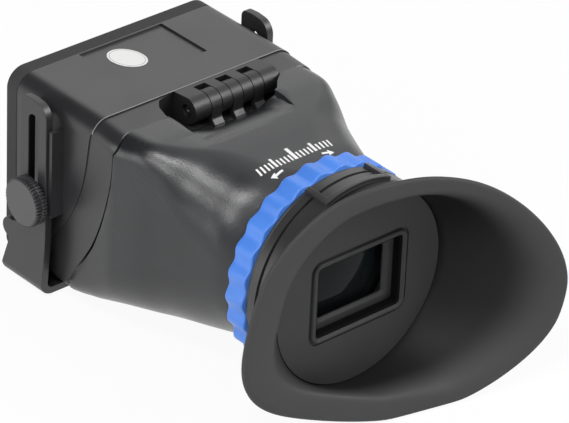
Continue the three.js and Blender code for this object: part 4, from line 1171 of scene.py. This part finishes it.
def build_knob(side):
    """Thumb screw's knob: a plain drum with two rows of teeth."""
    name = "left" if side < 0 else "right"
    toothed = gear()
    plain = circle(SCREW_Y, 0, KNOB_RADIUS, 80)
    face = circle(SCREW_Y, 0, KNOB_FACE, 80)

    def at(x, outline):
        return along("x", outline, side * x)

    rows = []
    for low, high in ((KNOB_START, KNOB_START + 1.8), (KNOB_END - 2.05, KNOB_END - 0.2)):
        rows.append(loft("row", [
            at(low, shrunk(toothed, ROW_TAPER)), at(low + ROW_CHAMFER, toothed),
            at(high - ROW_CHAMFER, toothed), at(high, shrunk(toothed, ROW_TAPER)),
        ]))
    knob = loft(f"knob_{name}_piece", [
        at(KNOB_START + 0.4, plain), at(KNOB_END - 0.5, plain), at(KNOB_END - 0.1, face),
        at(KNOB_END, shrunk(face, 0.97)),
    ])
    join(knob, *rows)
    hole = circle(SCREW_Y, 0, SCREW_BORE, 32)
    cut(knob, prism("hole", hole, "x", *across(side, 47, 51.3)))
    dress(smooth(knob, 30, True), KNOB, f"thumb_{name}", "gloss", f"knob_{name}")


build_housing()
build_funnel()
build_gasket()
build_hinge_block()
build_hinge_leaf()
build_foot_highlights()
build_hinge_pin()
build_label()
build_crease_highlight()
build_scale()
build_focus_ring()
build_barrel()
build_collar()
build_face_plate()
build_window_shade()
build_window_mask()
build_lens("field_lens_piece", "field_lens", 94.4, 2.4, 1.4)
build_lens("eye_lens_piece", "eye_lens", 107.8, 2.4, 2.4)
build_eyecup()
build_bracket()
build_slot_shade(-1)
build_slot_shade(1)
build_knob(-1)
build_knob(1)


# Stage, light and camera

FLOOR_TONE, FLOOR_GLOW, FLOOR_SIZE = (0.94, 0.94, 0.94, 1), 0.93, 6.0
# The dark flag that reflections see: its direction, and cosines of its edge and its core
FLAG = (-0.54, 0.65, 0.53)
FLAG_EDGE, FLAG_CORE, FLAG_SHADE = 0.52, 0.78, 0.97
# Darker walls in reflections, fading out with height
WALL_TOP, WALL_SHADE = 0.38, 0.6
WORLD_FILL = 0.38
# Name, direction, distance, length, height and power
LIGHTS = [
    ("high_strip", (-0.5, -0.22, 0.84), 0.9, 0.44, 0.11, 3.1),
    ("low_strip", (-0.81, -0.2, 0.55), 0.9, 0.4, 0.1, 1.6),
    ("back_right", (0.6, 0.6, 0.5), 1.1, 0.7, 0.7, 0.5),
    ("edge_light", (0.58, -0.52, 0.63), 1.1, 0.5, 0.5, 6.0),
    ("left_fill", (-0.92, 0.35, 0.12), 1.1, 0.6, 0.6, 3.2),
]
LIGHT_TARGET = (0, -60, 0)
CAMERA_PLACE, CAMERA_LENS, SENSOR_WIDTH = (-747.2, -895.0, 676.6), 258.07, 36.0
CAMERA_RIGHT, CAMERA_BACK = (0.7510, -0.6593, 0.0390), (-0.5797, -0.6298, 0.5171)


def place(x, y, z):
    return ORIGIN + Vector((x, y, z)) * MM


def compute(tree, operation, first, second):
    """Result of a math operation on two outputs."""
    node = tree.nodes.new("ShaderNodeMath")
    node.operation = operation
    tree.links.new(first, node.inputs[0])
    tree.links.new(second, node.inputs[1])
    return node.outputs[0]


def scaled(tree, source, low, high):
    """Maps nothing to low and one to high."""
    return ramp(tree, source, 0.0, 1.0, low, high)


def seen_directly(tree):
    """Rays, and one for camera, glossy and transmission rays, else nothing."""
    rays = tree.nodes.new("ShaderNodeLightPath").outputs
    total = rays["Is Camera Ray"]
    for name in ("Is Glossy Ray", "Is Transmission Ray"):
        total = compute(tree, "MAXIMUM", total, rays[name])
    return rays, total


def stage_material():
    """Pale floor that shows white and keeps a faint shadow of the object."""
    material, tree, shader = node_material("pale_floor")
    shader.inputs["Base Color"].default_value = FLOOR_TONE
    shader.inputs["Roughness"].default_value = 0.9
    shader.inputs["Specular IOR Level"].default_value = 0.1
    glow = tree.nodes.new("ShaderNodeEmission")
    glow.inputs["Color"].default_value = (1, 1, 1, 1)
    blend = tree.nodes.new("ShaderNodeMixShader")
    tree.links.new(scaled(tree, seen_directly(tree)[1], 0.0, FLOOR_GLOW), blend.inputs[0])
    tree.links.new(shader.outputs[0], blend.inputs[1])
    tree.links.new(glow.outputs[0], blend.inputs[2])
    tree.links.new(blend.outputs[0], tree.nodes["Material Output"].inputs["Surface"])
    return material


def build_floor():
    """Plane through the eyecup's lowest point and the bar of the bracket."""
    low_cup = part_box("eyecup")[0]
    front = place(0, 0.5, -35.55)
    cup_point = Vector((front.x, place(0, -132.0, 0).y, low_cup.z - 0.00005))
    way = (front - cup_point).normalized() * FLOOR_SIZE
    aside = Vector((1, 0, 0)) * FLOOR_SIZE
    centre = (front + cup_point) / 2
    mesh = bpy.data.meshes.new("floor")
    corners = [centre + aside * sx + way * sy for sx, sy in ((-1, -1), (1, -1), (1, 1), (-1, 1))]
    mesh.from_pydata([tuple(c) for c in corners], [], [(0, 1, 2, 3)])
    mesh.materials.append(stage_material())
    collection_add(bpy.data.objects.new("floor", mesh))


def area_light(name, direction, distance, length, height, power):
    light = bpy.data.lights.new(name, "AREA")
    light.shape = "RECTANGLE"
    light.size = length
    light.size_y = height
    light.energy = power
    obj = collection_add(bpy.data.objects.new(name, light))
    way = Vector(direction).normalized()
    obj.location = place(*LIGHT_TARGET) + way * distance
    obj.rotation_euler = (-way).to_track_quat("-Z", "Y").to_euler()


def build_world():
    """White seen directly, dimmer as fill light; reflections also see darker walls and a flag."""
    world = bpy.data.worlds.new("studio")
    bpy.context.scene.world = world
    world.use_nodes = True
    tree = world.node_tree
    background = tree.nodes["Background"]
    background.inputs["Color"].default_value = (1, 1, 1, 1)
    rays, direct = seen_directly(tree)
    coords = tree.nodes.new("ShaderNodeTexCoord")
    toward = tree.nodes.new("ShaderNodeVectorMath")
    toward.operation = "DOT_PRODUCT"
    toward.inputs[1].default_value = Vector(FLAG).normalized()
    tree.links.new(coords.outputs["Generated"], toward.inputs[0])
    height = tree.nodes.new("ShaderNodeSeparateXYZ")
    tree.links.new(coords.outputs["Generated"], height.inputs[0])
    flag = ramp(tree, toward.outputs["Value"], FLAG_EDGE, FLAG_CORE, 0.0, FLAG_SHADE, True)
    wall = ramp(tree, height.outputs["Z"], 0.0, WALL_TOP, WALL_SHADE, 0.0, True)
    unseen = scaled(tree, rays["Is Camera Ray"], 1.0, 0.0)
    shade = compute(tree, "MULTIPLY", compute(tree, "MAXIMUM", flag, wall), unseen)
    left = scaled(tree, shade, 1.0, 0.0)
    strength = compute(tree, "MULTIPLY", left, scaled(tree, direct, WORLD_FILL, 1.0))
    tree.links.new(strength, background.inputs["Strength"])


def build_camera():
    data = bpy.data.cameras.new("photo_camera")
    data.sensor_width = SENSOR_WIDTH
    data.lens = CAMERA_LENS
    data.clip_start = 0.05
    data.clip_end = 50.0
    camera = collection_add(bpy.data.objects.new("photo_camera", data))
    right = Vector(CAMERA_RIGHT).normalized()
    back = Vector(CAMERA_BACK).normalized()
    up = back.cross(right).normalized()
    right = up.cross(back).normalized()
    turn = Matrix((right, up, back)).transposed().to_4x4()
    camera.matrix_world = Matrix.Translation(place(*CAMERA_PLACE)) @ turn
    bpy.context.scene.camera = camera


build_floor()
build_world()
for light_values in LIGHTS:
    area_light(*light_values)
build_camera()
bpy.context.scene.view_settings.view_transform = "Standard"
